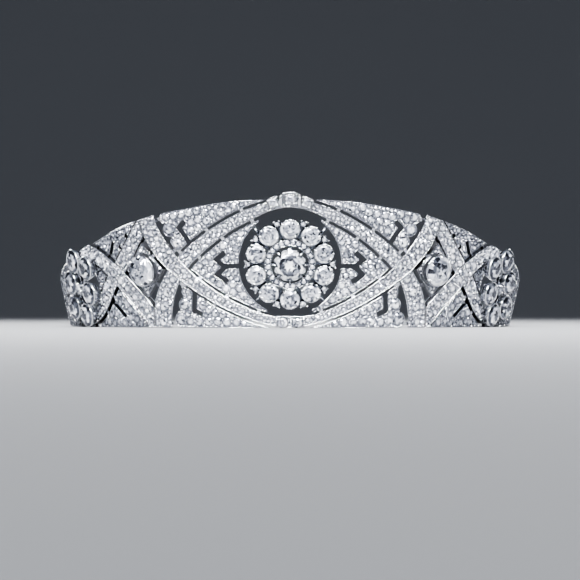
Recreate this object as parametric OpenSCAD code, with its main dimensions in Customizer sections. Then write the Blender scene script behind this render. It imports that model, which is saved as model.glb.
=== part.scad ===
// Openwork bandeau tiara: a flared band of crossing ribbons and pierced plates,
// with a round cluster in front, a stone lozenge and a flower rosette on each side.
// Millimetres. The band stands on z = 0 and its front faces -Y.
// Left and right are as seen from the front, so right is +X.
// A place on the band is an angle round from the front and a height up its sloping wall.

/* [Band] */
// Outer radius of the band at its lower edge
base_r = 72.5; // [70:0.5:75]
// Outward lean of the band in degrees
flare = 12; // [10:0.5:14]
// Thickness of the pavé plates
plate_t = 1.4; // [1.2:0.1:1.8]
// Height of the ribbons that pass under, above the plates
under_rise = 0.35; // [0.2:0.05:0.5]
// Height of the ribbons that pass over, above the plates
over_rise = 0.7; // [0.6:0.05:0.9]
// Width of the pierced lines
pierce_w = 0.9; // [0.7:0.1:1.1]
// Width of the open lines beside the scalloped plate ends
open_w = 1.6; // [1.4:0.1:1.8]
// Width of the small bars that join ribbons and plates
rung_w = 1.0; // [0.8:0.1:1.2]
// Gap between sections, and round each stone
seam = 0.3; // [0.2:0.05:0.35]
// Height of each stone's girdle above the top of its collet
stone_rise = 0.3; // [0.2:0.05:0.4]

/* [Centre cluster] */
// Height of the cluster's centre up the wall
eye_v = 19.2; // [18.8:0.1:19.6]
// Radius of the round opening behind the cluster
eye_r = 14.9; // [14.6:0.1:15.2]
// Number of large stones round the cluster
ring_stones = 10; // [10:1:10]
// Radius of each large stone
ring_stone_r = 2.65; // [2.5:0.05:2.75]
// Radius on which the large stones sit
ring_r = 10.3; // [10.2:0.1:10.5]
// Radius on which the small outer stones sit
small_r = 12.2; // [12:0.1:12.4]
// Radius of the centre stone
centre_stone_r = 4; // [3.6:0.1:4.2]

/* [Lozenge] */
// Angle of the lozenge round from the front
lozenge_angle = 34.3; // [34.1:0.1:34.5]
// Height of its centre up the wall
lozenge_v = 17.6; // [17.4:0.1:17.8]
// Half its width
lozenge_half_w = 6.9; // [6.4:0.1:7]
// Half its height
lozenge_half_h = 8.2; // [7.8:0.1:8.3]
// Radius of its stone
lozenge_stone_r = 4.4; // [4:0.1:4.5]

/* [Flower] */
// Angle of the flower round from the front
flower_angle = 56.1; // [55.5:0.1:57]
// Height of its centre up the wall
flower_v = 12.9; // [12.9:0.1:13.2]
// Radius of each of the six stones
petal_stone_r = 3.4; // [3.2:0.05:3.45]
// Distance of the upper and lower pairs from its centre
petal_row = 7.6; // [7.6:0.1:7.8]
// Turn of the flower in its own plane, in degrees
flower_turn = 18; // [15:1:22]
// Radius of the opening behind the flower
flower_open_r = 7; // [6.8:0.1:7.4]

/* [Crest and arms] */
// Radius of the middle crest stone
crest_stone_r = 1.3; // [1.2:0.05:1.35]
// Radius of each side crest stone
crest_side_r = 1.2; // [1.1:0.05:1.25]
// Angle at which the band ends
band_end = 79.5; // [78.5:0.5:80]
// Angle at which the plain arms end
arm_end = 124; // [118:1:130]
// Height of the middle of an arm above the ground
arm_z = 6.6; // [6:0.1:7]
// Height of an arm's bar
arm_h = 2.4; // [2:0.1:3]
// Thickness of an arm's bar
arm_t = 1.3; // [1:0.1:1.5]

/* [Hidden] */
SIDES = ["left", "right"];
PETALS = 6;
$fn = 64;

metal = "#d7dade";
gem = "#eef5fb";

// Columns of the ribbon tables: angle, height up the wall, width
ANGLE = 0;
HEIGHT = 1;
WIDTH = 2;

// Upper edge of the band, from the front round to its end
RIM = [[-12, 37.4], [0, 37.8], [12, 37.4], [22, 35.6], [32, 33.3], [42, 29.8], [50, 26.2],
       [58, 23.7], [66, 21.0], [73, 18.3], [80, 15.2], [87, 12]];
// Upper lid of the eye, which dives under the lower lid and runs on to the lower edge
LID_UPPER = [[0, 36.6, 2.0], [4.5, 35.7, 2.5], [9, 33.2, 3.3], [13, 30.5, 3.5], [17, 27.2, 3.8],
             [20.6, 23.7, 4.1], [23.6, 20.4, 4.3], [26.4, 16.4, 4.6], [28.5, 12.3, 5.5],
             [29.95, 8.4, 6.2], [30.8, 4.4, 6.3], [31.2, 0, 6.3], [31.4, -4, 6.3]];
// Lower lid of the eye, which crosses over it and climbs to the upper edge
LID_LOWER = [[0, 1.9, 3.3], [5.5, 2.6, 2.6], [10.5, 4.9, 2.9], [15.5, 8.1, 3.2], [20.5, 12.3, 3.7],
             [24.2, 16.0, 4.3], [27.1, 19.8, 5.1], [29.8, 24.5, 5.7], [31.6, 29.3, 5.6],
             [32.3, 34, 5.4], [32.5, 38, 5.4]];
// Ribbon that falls from the upper edge to the crossing beside the lozenge
FALL = [[33.1, 31.6, 3.8], [35.0, 28.7, 4.1], [37.4, 24.7, 4.5], [39.4, 21.6, 4.8], [41.7, 18.4, 4.9],
        [44.2, 15.0, 4.8]];
// Ribbon that climbs from the lower edge, over that crossing, and becomes the upper edge
CLIMB = [[31.0, -2.6, 5.4], [34.0, 3.9, 5.4], [36.2, 7.4, 5.5], [39.2, 11.4, 5.5], [42.2, 15.2, 5.4],
         [45.2, 18.5, 5.2], [48.2, 21.3, 5.0], [51.6, 23.2, 4.8], [55.4, 22.6, 4.4], [59.6, 21.2, 4.0],
         [63.5, 19.9, 3.8]];
// Ribbon that runs on below the crossing and round under the flower
CRADLE = [[42.4, 18.0, 4.6], [45.2, 14.2, 4.7], [47.4, 11.0, 4.8], [49.7, 7.6, 4.6], [52.6, 4.5, 4.0],
          [56.0, 2.6, 3.4], [60.5, 3.0, 2.4], [64.6, 4.7, 2.4], [68.6, 6.7, 2.6]];
// Pierced line that runs on under the cradle to the end of the band
TAIL_LINE = [[56.5, -1, 0.7], [61.1, 1.4, 0.7], [66.4, 3.6, 0.7], [70.8, 5.8, 0.7], [75.2, 8.6, 0.7],
             [77.4, 10.2, 0.7]];

mm_per_degree = (base_r + eye_v * sin(flare)) * PI / 180;
lap_t = plate_t - 0.3;
lobe_line = open_w + 1.2;
climb_cut = 59;
lozenge_view = 40;
steps = 3;

// Catmull-Rom curve through the rows of a table, at t counted in rows
function along(rows, t) =
    let (last = len(rows) - 1,
         i = min(floor(t), last - 1),
         f = t - i,
         a = rows[max(i - 1, 0)], b = rows[i], c = rows[i + 1], d = rows[min(i + 2, last)])
    0.5 * (2 * b + (c - a) * f + (2 * a - 5 * b + 4 * c - d) * f * f
        + (3 * b - a - 3 * c + d) * f * f * f);

// The wall unrolled flat: distance round from the front, and height
function unrolled(row) = [row[ANGLE] * mm_per_degree, row[HEIGHT]];

function centre_at(rows, t) = unrolled(along(rows, t));

function heading(rows, t) =
    let (last = len(rows) - 1,
         step = centre_at(rows, min(t + 0.05, last)) - centre_at(rows, max(t - 0.05, 0)))
    step / norm(step);

function beside(rows, t, off) =
    let (h = heading(rows, t)) centre_at(rows, t) + off * [-h[1], h[0]];

// Places along a table from row t0 to row t1
function stations(t0, t1) =
    let (n = ceil(abs(t1 - t0) * steps)) [for (i = [0:n]) t0 + (t1 - t0) * i / n];

// Station of RIM at an angle, and its points between two angles
function rim_station(angle) = lookup(angle, [for (i = [0:len(RIM) - 1]) [RIM[i][ANGLE], i]]);

function rim_line(a0, a1) =
    [for (t = stations(rim_station(a0), rim_station(a1))) unrolled(along(RIM, t))];

function centre_line(rows, t0, t1) = [for (t = stations(t0, t1)) centre_at(rows, t)];

// One edge of a ribbon, grow mm outside it, on side +1 or -1 of its run
function edge_line(rows, t0, t1, side, grow = 0) =
    [for (t = stations(t0, t1)) beside(rows, t, side * (along(rows, t)[WIDTH] / 2 + grow))];

function reversed(points) = [for (i = [len(points) - 1:-1:0]) points[i]];

function mirrored_rows(rows) =
    concat([for (i = [len(rows) - 1:-1:1]) [-rows[i][ANGLE], rows[i][HEIGHT], rows[i][WIDTH]]], rows);

// A band of even width along straight runs, mitred at its bends
function stroke(points, w) =
    let (n = len(points) - 1,
         run = [for (i = [0:n - 1]) (points[i + 1] - points[i]) / norm(points[i + 1] - points[i])],
         side = [for (i = [0:n])
             let (a = run[max(i - 1, 0)], b = run[min(i, n - 1)], m = a + b, u = m / norm(m))
             [-u[1], u[0]] * w / 2 / (u * b)])
    concat([for (i = [0:n]) points[i] + side[i]], [for (i = [n:-1:0]) points[i] - side[i]]);

// An unrolled point seen along the radius at an angle
function seen(p, view) =
    [(base_r + p[1] * sin(flare)) * sin(p[0] / mm_per_degree - view), p[1] * cos(flare)];

module seen_shape(points, view) {
    polygon([for (p = points) seen(p, view)]);
}

module ribbon(rows, view, grow = 0, t0 = 0, t1 = -1) {
    end = t1 < 0 ? len(rows) - 1 : t1;
    seen_shape(concat(edge_line(rows, t0, end, 1, grow),
        reversed(edge_line(rows, t0, end, -1, grow))), view);
}

// A small bar across the pierced line on one side of a ribbon, reaching over both its shores
module rung(rows, t, side, view, reach = 1.7) {
    half = along(rows, t)[WIDTH] / 2;
    across = [-heading(rows, t)[1], heading(rows, t)[0]] * side;
    foot = centre_at(rows, t) + across * (half - 0.6);
    seen_shape(stroke([foot, foot + across * (0.6 + reach)], rung_w), view);
}

// A disc on the unrolled wall
function disc(angle, v, r, n = 16) =
    [for (i = [0:n - 1]) [angle * mm_per_degree + r * cos(360 * i / n), v + r * sin(360 * i / n)]];

// Conical skin between two depths, measured out from the band's outer face
module wall_ring(inner, outer) {
    function corner(v, n) = [base_r + v * sin(flare) + n * cos(flare), v * cos(flare) - n * sin(flare)];
    low = -3;
    high = 46;
    rotate([0, 0, 90])
        rotate_extrude()
            polygon([corner(low, inner), corner(low, outer), corner(high, outer), corner(high, inner)]);
}

// The children, drawn as seen along the radius at an angle, cut out of the skin
module on_band(view, inner, outer) {
    intersection() {
        rotate([0, 0, view])
            rotate([90, 0, 0])
                linear_extrude(base_r + 30) children();
        wall_ring(inner, outer);
    }
}

// Local Z points straight out of the wall and local Y points up it
module on_wall(angle, v, lift = 0) {
    rotate([0, 0, angle])
        translate([0, -(base_r + v * sin(flare)), v * cos(flare)])
            rotate([90 + flare, 0, 0])
                translate([0, 0, lift]) children();
}

module both() {
    children();
    mirror([1, 0, 0]) children();
}

module to_side(s) {
    if (s == "left") mirror([1, 0, 0]) children();
    else children();
}

// Everything above the ground and below the upper edge, between two angles
module field(view, a0, a1) {
    seen_shape(concat([unrolled([a0, 0])], rim_line(a0, a1), [unrolled([a1, 0])]), view);
}

// A brilliant with its girdle at local z = 0, and a pavilion deep times its radius
module brilliant(r, deep = 0.84) {
    color(gem)
        rotate_extrude()
            polygon([[0, -deep * r], [r, -0.03 * r], [r, 0.03 * r], [0.57 * r, 0.32 * r], [0, 0.32 * r]]);
}

// A round collet with a conical seat for a stone of radius r, open behind to foot times that radius
module collet(r, wall, tall, foot = 0.55) {
    difference() {
        cylinder(r1 = r * 0.8 + wall, r2 = r + wall, h = tall);
        translate([0, 0, -1]) cylinder(r = r * foot, h = tall + 2);
        translate([0, 0, tall - 0.9 * r]) cylinder(r1 = 0.1 * r, r2 = r + 0.12, h = 0.9 * r + 0.001);
    }
}

// Front section

// Lobes at the end of a plate, one disc for each row: angle, height, radius
BROW_LOBES = [[27.3, 33.0, 2.0], [26.7, 29.4, 2.1], [25.2, 25.4, 2.2]];
CHEEK_LOBES = [[23.7, 10.8, 2.0], [24.7, 7.0, 2.1], [25.9, 2.6, 2.3]];
LOBE_R = 2;

module lobes(rows, view) {
    for (row = rows) seen_shape(disc(row[ANGLE], row[HEIGHT], row[LOBE_R], 20), view);
}

// Between the upper edge and the upper lid
module brow_plate() {
    difference() {
        seen_shape(concat(rim_line(5.4, 31), reversed(centre_line(LID_LOWER, 6, 8.5)),
            reversed(centre_line(LID_UPPER, 1.2, 6.6))), 0);
        ribbon(LID_UPPER, 0, pierce_w, 0, 8);
        ribbon(LID_LOWER, 0, 1.1, 4);
        difference() {
            ribbon(LID_LOWER, 0, lobe_line, 4);
            lobes(BROW_LOBES, 0);
        }
        seen_shape(stroke([unrolled([22.1, 25.4]), unrolled([24.3, 30.0]), unrolled([22.8, 31.9])], 1.6), 0);
    }
}

// Between the lower lid and the lower edge
module cheek_plate() {
    difference() {
        seen_shape(concat(centre_line(LID_LOWER, 0.8, 5.3), centre_line(LID_UPPER, 7, 11),
            [unrolled([4.5, 0])]), 0);
        ribbon(LID_LOWER, 0, pierce_w, 0, 7);
        ribbon(LID_UPPER, 0, 1.1, 5);
        difference() {
            ribbon(LID_UPPER, 0, lobe_line, 5);
            lobes(CHEEK_LOBES, 0);
        }
        seen_shape(stroke([unrolled([21.8, 11.5]), unrolled([22.5, 5.2]), unrolled([20.4, 4.0])], 1.6), 0);
    }
}

// Corner of the eye, inside both lids
module corner_plate() {
    difference() {
        seen_shape(concat(centre_line(LID_UPPER, 1.5, 6.5), reversed(centre_line(LID_LOWER, 0.9, 5.4))), 0);
        ribbon(LID_UPPER, 0, pierce_w, 0, 8);
        ribbon(LID_LOWER, 0, pierce_w, 0, 7);
        translate([0, eye_v * cos(flare)]) circle(r = eye_r);
        seen_shape(stroke([unrolled([9, 18.4]), unrolled([14.6, 18.4])], 1.5), 0);
        seen_shape(stroke([unrolled([14.2, 22.5]), unrolled([16.2, 20.4]), unrolled([14.3, 18.2]),
            unrolled([16.2, 16.0]), unrolled([13.8, 13.7])], 1.6), 0);
    }
}

module front_rungs() {
    for (t = [2.1, 4.0, 5.9]) rung(LID_UPPER, t, 1, 0);
    for (t = [1.9, 3.6, 5.2]) rung(LID_UPPER, t, -1, 0);
    for (t = [1.4, 2.9, 4.2]) rung(LID_LOWER, t, 1, 0);
    for (t = [1.6, 3.2, 4.7]) rung(LID_LOWER, t, -1, 0);
    for (t = [6.3, 8.55]) rung(LID_LOWER, t, 1, 0, 2.4);
    for (t = [7.3, 10.6]) rung(LID_UPPER, t, -1, 0, 2.4);
}

module front_section() {
    color(metal)
        union() {
            on_band(0, -plate_t, 0)
                both() {
                    brow_plate();
                    cheek_plate();
                    corner_plate();
                }
            on_band(0, -plate_t - 0.05, under_rise)
                intersection() {
                    ribbon(mirrored_rows(LID_UPPER), 0);
                    field_both();
                }
            on_band(0, -plate_t - 0.1, over_rise)
                intersection() {
                    ribbon(mirrored_rows(LID_LOWER), 0);
                    field_both();
                }
            on_band(0, -lap_t, -0.15)
                both() front_rungs();
        }
}

module field_both() {
    right_side = concat(rim_line(0, 50), [unrolled([50, 0])]);
    left_side = [for (p = reversed(right_side)) [-p[0], p[1]]];
    seen_shape(concat(left_side, [for (i = [1:len(right_side) - 1]) right_side[i]]), 0);
}

// Centre cluster

module ring_place(i) {
    turn = 90 + 360 * i / ring_stones;
    translate([ring_r * cos(turn), ring_r * sin(turn), 0]) children();
}

cluster_lift = -0.6;
ring_foot = 0.4;
ring_tall = 2.3;
centre_top = 3.7;

module centre_cluster() {
    base_t = 0.9;
    ring_in = 5.45;
    ring_out = 7.4;
    color(metal)
        on_wall(0, eye_v, cluster_lift)
            union() {
                difference() {
                    cylinder(r = small_r + 0.2, h = base_t);
                    translate([0, 0, -1]) cylinder(r = ring_r - 1.5, h = base_t + 2);
                    for (i = [0:ring_stones - 1])
                        ring_place(i) translate([0, 0, -1]) cylinder(r = ring_stone_r * 0.6, h = base_t + 2);
                }
                difference() {
                    cylinder(r = ring_out, h = base_t + 1.6);
                    translate([0, 0, -1]) cylinder(r = ring_in, h = base_t + 4);
                }
                for (i = [0:ring_stones - 1]) {
                    turn = 90 + 360 * (i + 0.5) / ring_stones;
                    ring_place(i) translate([0, 0, ring_foot]) collet(ring_stone_r, 0.22, ring_tall, 0.6);
                    rotate([0, 0, turn]) {
                        translate([small_r, 0, 0.3]) cylinder(r = 0.85, h = 2);
                        translate([ring_out - 0.4, -0.35, 0.15]) cube([2, 0.7, 0.6]);
                    }
                }
                difference() {
                    union() {
                        translate([0, 0, 0.3])
                            cylinder(r1 = 3.5, r2 = centre_stone_r + 0.35, h = centre_top - 0.3);
                        for (i = [0:7])
                            rotate([0, 0, 45 * i]) translate([3, -0.45, 0.4]) cube([2.8, 0.9, 0.8]);
                    }
                    translate([0, 0, -1]) cylinder(r = 2.4, h = 6);
                    translate([0, 0, centre_top - 0.9 * centre_stone_r])
                        cylinder(r1 = 0.1 * centre_stone_r, r2 = centre_stone_r + 0.12,
                            h = 0.9 * centre_stone_r + 0.01);
                }
                for (turn = [45, 135, 228, 312])
                    rotate([0, 0, turn])
                        translate([small_r - 0.6, -0.5, 0.1]) cube([eye_r - small_r + 0.6 - seam, 1, 0.7]);
            }
}

module centre_stone() {
    on_wall(0, eye_v, cluster_lift + centre_top + stone_rise) brilliant(centre_stone_r);
}

module cluster_stone(i) {
    on_wall(0, eye_v, cluster_lift + ring_foot + ring_tall + stone_rise)
        ring_place(i) brilliant(ring_stone_r);
}

// Crest: a fan-shaped cup between two pointed claws, with a square cup on each side

crest_v = 38.1;
crest_lift = over_rise + seam;
crest_h = 1.6;
crest_side_half = 1.6;
crest_side_x = 4.9;
crest_side_drop = 0.85;
crest_side_turn = 19;
CREST_FAN = [[-2.15, 2], [-1.1, 2.15], [0, 2.2], [1.1, 2.15], [2.15, 2], [1.8, 0.3], [1.8, -1.9],
             [-1.8, -1.9], [-1.8, 0.3]];
CREST_CLAW = [[1.6, -1.9], [3.5, -1.9], [3.1, -0.4], [2.6, 1.5], [1.7, 0]];

module crest_place(side) {
    translate([side * crest_side_x, -abs(side) * crest_side_drop, 0])
        rotate([0, 0, -side * crest_side_turn]) children();
}

module crest_recess(r) {
    translate([0, 0, -1]) cylinder(r = 0.6 * r, h = crest_h + 2);
    translate([0, 0, crest_h - 0.9 * r]) cylinder(r1 = 0.1 * r, r2 = r + 0.12, h = 0.9 * r + 0.01);
}

module crest_setting() {
    color(metal)
        on_wall(0, crest_v, crest_lift)
            difference() {
                union() {
                    linear_extrude(crest_h) polygon(CREST_FAN);
                    both() linear_extrude(crest_h - 0.2) polygon(CREST_CLAW);
                    for (side = [-1, 1])
                        crest_place(side)
                            translate([-crest_side_half, -crest_side_half, 0])
                                cube([2 * crest_side_half, 2 * crest_side_half, crest_h]);
                }
                crest_recess(crest_stone_r);
                for (side = [-1, 1]) crest_place(side) crest_recess(crest_side_r);
            }
}

module crest_stone(side) {
    on_wall(0, crest_v, crest_lift + crest_h + stone_rise)
        crest_place(side) brilliant(side == 0 ? crest_stone_r : crest_side_r);
}

// Lozenge section

// Between the falling ribbon, the climbing ribbon and the upper edge
module temple_plate() {
    difference() {
        seen_shape(concat(rim_line(35.4, 51), reversed(centre_line(CLIMB, 4.4, 7)),
            reversed(centre_line(FALL, 0.3, 3.8))), lozenge_view);
        ribbon(FALL, lozenge_view, 0.6);
        ribbon(CLIMB, lozenge_view, pierce_w, 2, 9);
        for (p = [[38.5, 27.9], [40.8, 24.6]])
            seen_shape(disc(p[ANGLE], p[HEIGHT], 0.8), lozenge_view);
        seen_shape(stroke([unrolled([44.9, 21.2]), unrolled([42.9, 26.4])], 1.4), lozenge_view);
    }
}

// The climbing ribbon up to an angle, grow mm outside its edges
module climb_shape(end_angle, grow) {
    intersection() {
        ribbon(CLIMB, lozenge_view, grow);
        field(lozenge_view, 28, end_angle);
    }
}

// Space kept clear round the front section's ribbons, and round the climbing ribbon
module lid_room() {
    on_band(0, -plate_t - 1, over_rise + 1) {
        ribbon(LID_LOWER, 0, seam, 5);
        ribbon(LID_UPPER, 0, seam, 6);
    }
}

module climb_room() {
    on_band(lozenge_view, -plate_t - 1, over_rise + 1)
        climb_shape(climb_cut + 0.4, seam);
}

module lozenge_section() {
    color(metal)
        difference() {
            union() {
                on_band(lozenge_view, -plate_t, 0)
                    temple_plate();
                on_band(lozenge_view, -plate_t - 0.05, under_rise)
                    intersection() {
                        ribbon(FALL, lozenge_view);
                        field(lozenge_view, 28, 50);
                    }
                on_band(lozenge_view, -plate_t - 0.1, over_rise)
                    climb_shape(climb_cut, 0);
                on_band(lozenge_view, -lap_t, -0.15) {
                    for (t = [1.1, 2.6]) rung(FALL, t, 1, lozenge_view, 1.5);
                    for (t = [5.6, 6.6]) rung(CLIMB, t, 1, lozenge_view);
                }
            }
            lid_room();
        }
}

// Lozenge setting and stone

lozenge_lift = 0.2;
lozenge_tall = 1.8;

module lozenge_setting() {
    tab = 1.0;
    tab_reach = 1.4;
    corner = [[0, lozenge_half_h], [lozenge_half_w, 0], [0, -lozenge_half_h], [-lozenge_half_w, 0]];
    color(metal)
        difference() {
            on_wall(lozenge_angle, lozenge_v, lozenge_lift)
                difference() {
                    union() {
                        translate([0, 0, -1.3])
                            linear_extrude(1.3) polygon(corner);
                        for (i = [0:3]) {
                            middle = (corner[i] + corner[(i + 1) % 4]) / 2;
                            out = [sign(middle[0]) * lozenge_half_h, sign(middle[1]) * lozenge_half_w];
                            unit = out / norm(out);
                            translate([0, 0, -1.15])
                                linear_extrude(0.8)
                                    polygon(stroke([middle - unit, middle + unit * tab_reach], tab));
                        }
                        translate([0, 0, -0.2])
                            cylinder(r1 = lozenge_stone_r + 0.1, r2 = lozenge_stone_r + 0.35,
                                h = lozenge_tall + 0.2);
                    }
                    translate([0, 0, -3]) cylinder(r = 0.6 * lozenge_stone_r, h = 6);
                    translate([0, 0, lozenge_tall - 0.9 * lozenge_stone_r])
                        cylinder(r1 = 0.1 * lozenge_stone_r, r2 = lozenge_stone_r + 0.12,
                            h = 0.9 * lozenge_stone_r + 0.01);
                }
            lid_room();
            climb_room();
            on_band(lozenge_view, -plate_t - 1, over_rise + 1)
                ribbon(FALL, lozenge_view, seam);
        }
}

module lozenge_stone() {
    on_wall(lozenge_angle, lozenge_v, lozenge_lift + lozenge_tall + stone_rise) brilliant(lozenge_stone_r);
}

// Flower section

module flower_opening() {
    translate([0, flower_v * cos(flare)]) circle(r = flower_open_r);
}

// Between the climbing ribbon, the cradle and the flower
module petal_plate() {
    difference() {
        seen_shape(concat(centre_line(CLIMB, 4.4, 7.6), reversed(centre_line(CRADLE, 0.5, 4.6))),
            flower_angle);
        ribbon(CLIMB, flower_angle, pierce_w, 3);
        ribbon(CRADLE, flower_angle, pierce_w, 0, 7);
        flower_opening();
    }
}

// Between the climbing ribbon, the cradle and the lower edge
module foot_plate() {
    difference() {
        seen_shape(concat([unrolled([33, 0])], centre_line(CLIMB, 0.6, 4.4), centre_line(CRADLE, 0.5, 4.8),
            [unrolled([54.5, 0])]), flower_angle);
        ribbon(CLIMB, flower_angle, pierce_w, 0, 6);
        ribbon(CRADLE, flower_angle, pierce_w, 0, 7);
        ribbon(LID_UPPER, flower_angle, pierce_w, 8);
        seen_shape(stroke([unrolled([46.9, 9.0]), unrolled([42.3, 3.4])], 1.5), flower_angle);
    }
}

// Behind the flower, down to the end of the band
module tail_plate() {
    difference() {
        seen_shape(concat([unrolled([56.5, 0])], [unrolled([56.5, 3])], rim_line(climb_cut + 0.5, band_end),
            [unrolled([band_end, 6]), unrolled([band_end - 1.4, 0])]), flower_angle);
        ribbon(TAIL_LINE, flower_angle);
        flower_opening();
        seen_shape(stroke([unrolled([72.4, 0.9]), unrolled([74.2, 4.6])], 0.8), flower_angle);
        seen_shape(stroke([unrolled([75.6, 12.4]), unrolled([74.6, 15.4])], 0.8), flower_angle);
    }
}

module flower_section() {
    color(metal)
        difference() {
            union() {
                on_band(flower_angle, -plate_t, 0) {
                    petal_plate();
                    foot_plate();
                    tail_plate();
                }
                on_band(flower_angle, -plate_t - 0.05, under_rise)
                    difference() {
                        intersection() {
                            ribbon(CRADLE, flower_angle);
                            field(flower_angle, 36, 76);
                        }
                        ribbon(TAIL_LINE, flower_angle);
                        flower_opening();
                    }
                on_band(flower_angle, -lap_t, -0.15) {
                    for (t = [1.9, 3.3]) rung(CRADLE, t, -1, flower_angle);
                    rung(CRADLE, 2.1, 1, flower_angle);
                    for (t = [1.6, 2.6, 3.6]) rung(TAIL_LINE, t, -1, flower_angle, 1);
                }
            }
            climb_room();
        }
}

// Flower setting and stones

petal_base = over_rise + seam;
petal_h = 1.7;
petal_wall = 0.35;
petal_pair = petal_stone_r + petal_wall + 0.12;
petal_wide = 5.7;
PETAL_PLACES = [[petal_wide, 0], [petal_pair, petal_row], [-petal_pair, petal_row],
                [-petal_wide, 0], [-petal_pair, -petal_row], [petal_pair, -petal_row]];

module petal_place(i) {
    rotate([0, 0, flower_turn]) translate(PETAL_PLACES[i]) children();
}

module flower_setting() {
    bar_w = 1;
    color(metal)
        on_wall(flower_angle, flower_v, petal_base)
            union() {
                for (i = [0:PETALS - 1]) {
                    away = norm(PETAL_PLACES[i]) - petal_stone_r * 0.8;
                    petal_place(i) collet(petal_stone_r, petal_wall, petal_h, 0.6);
                    rotate([0, 0, flower_turn + atan2(PETAL_PLACES[i][1], PETAL_PLACES[i][0])])
                        translate([0.9, -bar_w / 2, 0]) cube([away - 0.9, bar_w, 0.9]);
                }
                difference() {
                    cylinder(r1 = 1.3, r2 = 1.75, h = 2.4);
                    translate([0, 0, 1.2]) cylinder(r1 = 0.2, r2 = 1.5, h = 1.21);
                }
            }
}

module flower_stone(i) {
    on_wall(flower_angle, flower_v, petal_base + petal_h + stone_rise)
        petal_place(i) brilliant(petal_stone_r, 0.6);
}

// Arms, which run back from behind the ends of the band

arm_start = 75;
arm_r = base_r - 0.8;
collar_angle = 99.5;
collar_span = 1.5;
collar_h = 4;
collar_lip = 0.5;

module ring_bar(a0, a1, r_in, r_out, z0, z1) {
    rotate([0, 0, a0 - 90])
        rotate_extrude(angle = a1 - a0)
            translate([r_in, z0]) square([r_out - r_in, z1 - z0]);
}

// Plain bar with a loop for a ribbon at its end
module arm() {
    loop_r = 1.5;
    wire_r = 0.55;
    color(metal)
        union() {
            ring_bar(arm_start, arm_end, arm_r - arm_t, arm_r, arm_z - arm_h / 2, arm_z + arm_h / 2);
            ring_bar(collar_angle, collar_angle + collar_span, arm_r - arm_t - collar_lip,
                arm_r + collar_lip, arm_z - collar_h / 2, arm_z + collar_h / 2);
            rotate([0, 0, arm_end - 90])
                translate([arm_r - arm_t / 2, loop_r + wire_r - 0.3, arm_z])
                    rotate([0, 90, 0])
                        rotate_extrude() translate([loop_r, 0]) circle(r = wire_r);
        }
}

front_section();
centre_cluster();
centre_stone();
crest_setting();
for (i = [1:ring_stones])
    cluster_stone(i - 1);
crest_stone(-1);  // crest_stone_left
crest_stone(0);  // crest_stone_middle
crest_stone(1);  // crest_stone_right
for (s = SIDES) {
    to_side(s) lozenge_section();
    to_side(s) lozenge_setting();
    to_side(s) lozenge_stone();
    to_side(s) flower_section();
    to_side(s) flower_setting();
    to_side(s) arm();
    for (i = [1:PETALS])
        to_side(s) flower_stone(i - 1);
}
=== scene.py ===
"""Openwork bandeau tiara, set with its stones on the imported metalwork.

The wall of the band is a cone. A place on it is given as metres along (round from the front, towards +X),
metres up the slope and metres out from the plates' outer face. Left and right are as seen from the front.
"""

import logging
import math
import random
from dataclasses import dataclass, field
from enum import Enum
from itertools import product
from typing import Callable, Iterable, Mapping, Sequence

import bmesh
import bpy
import numpy as np
from mathutils import Matrix, Vector


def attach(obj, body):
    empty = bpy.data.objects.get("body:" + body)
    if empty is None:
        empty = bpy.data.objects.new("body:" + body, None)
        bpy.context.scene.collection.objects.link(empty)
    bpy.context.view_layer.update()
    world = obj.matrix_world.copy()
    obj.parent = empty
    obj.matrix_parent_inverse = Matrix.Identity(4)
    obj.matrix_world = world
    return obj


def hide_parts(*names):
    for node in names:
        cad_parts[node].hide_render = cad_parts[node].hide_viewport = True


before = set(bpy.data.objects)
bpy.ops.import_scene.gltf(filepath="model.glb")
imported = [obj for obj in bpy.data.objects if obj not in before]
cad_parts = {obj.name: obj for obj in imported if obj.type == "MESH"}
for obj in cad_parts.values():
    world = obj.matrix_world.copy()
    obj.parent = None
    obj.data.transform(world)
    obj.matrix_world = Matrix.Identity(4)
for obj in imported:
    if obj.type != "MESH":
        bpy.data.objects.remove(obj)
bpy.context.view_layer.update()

LOG = logging.getLogger("tiara")
MM = 0.001
BODY = "root"
SIDES = {"left": -1, "right": 1}
WEAR_DEPTH = 0.02 * MM

CORNERS = tuple(math.pi / 4 + k * math.pi / 2 for k in range(4))

Colour = tuple[float, float, float]
Place = tuple[float, float, float]
Cone = tuple[float, float, float, int]  # radius at the foot, radius at the top, height, sides
# Picks the painted brightness of each facet.
Tones = Callable[[bpy.types.MeshPolygon], float]


# Frames and objects


def move(x: float = 0.0, y: float = 0.0, z: float = 0.0) -> Matrix:
    """A shift."""
    return Matrix.Translation((x, y, z))


def turned(angle: float, axis: str = "Z") -> Matrix:
    """A turn about an axis, in radians."""
    return Matrix.Rotation(angle, 4, axis)


def sized(factor: float) -> Matrix:
    """A change of size."""
    return Matrix.Scale(factor, 4)


def stretched(x: float = 1.0, y: float = 1.0, z: float = 1.0) -> Matrix:
    """A change of size along each axis."""
    return Matrix.Diagonal((x, y, z, 1.0))


def around(seat: Matrix, turn: float, away: float, out: float = 0.0) -> Matrix:
    """A frame some way from a seat and out along its Z, with X pointing away from it."""
    return seat @ turned(turn) @ move(away, 0, out)


def above(seat: Matrix) -> Callable[[np.ndarray], np.ndarray]:
    """A measure of how far points are along a frame's Z."""
    inward = seat.inverted()
    return lambda points: np.array([(inward @ Vector(p)).z for p in points])


def top_face(bm: bmesh.types.BMesh) -> bmesh.types.BMFace:
    """The highest face of a mesh."""
    return max(bm.faces, key=lambda f: f.calc_center_median().z)


def linked(name: str, data: bpy.types.ID) -> bpy.types.Object:
    """A new object in the scene.

    Args:
        name: its name.
        data: the mesh, curve, light or camera it shows.

    Returns:
        The object.
    """
    thing = bpy.data.objects.new(name, data)
    bpy.context.scene.collection.objects.link(thing)
    return thing


# Shader wiring


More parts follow.
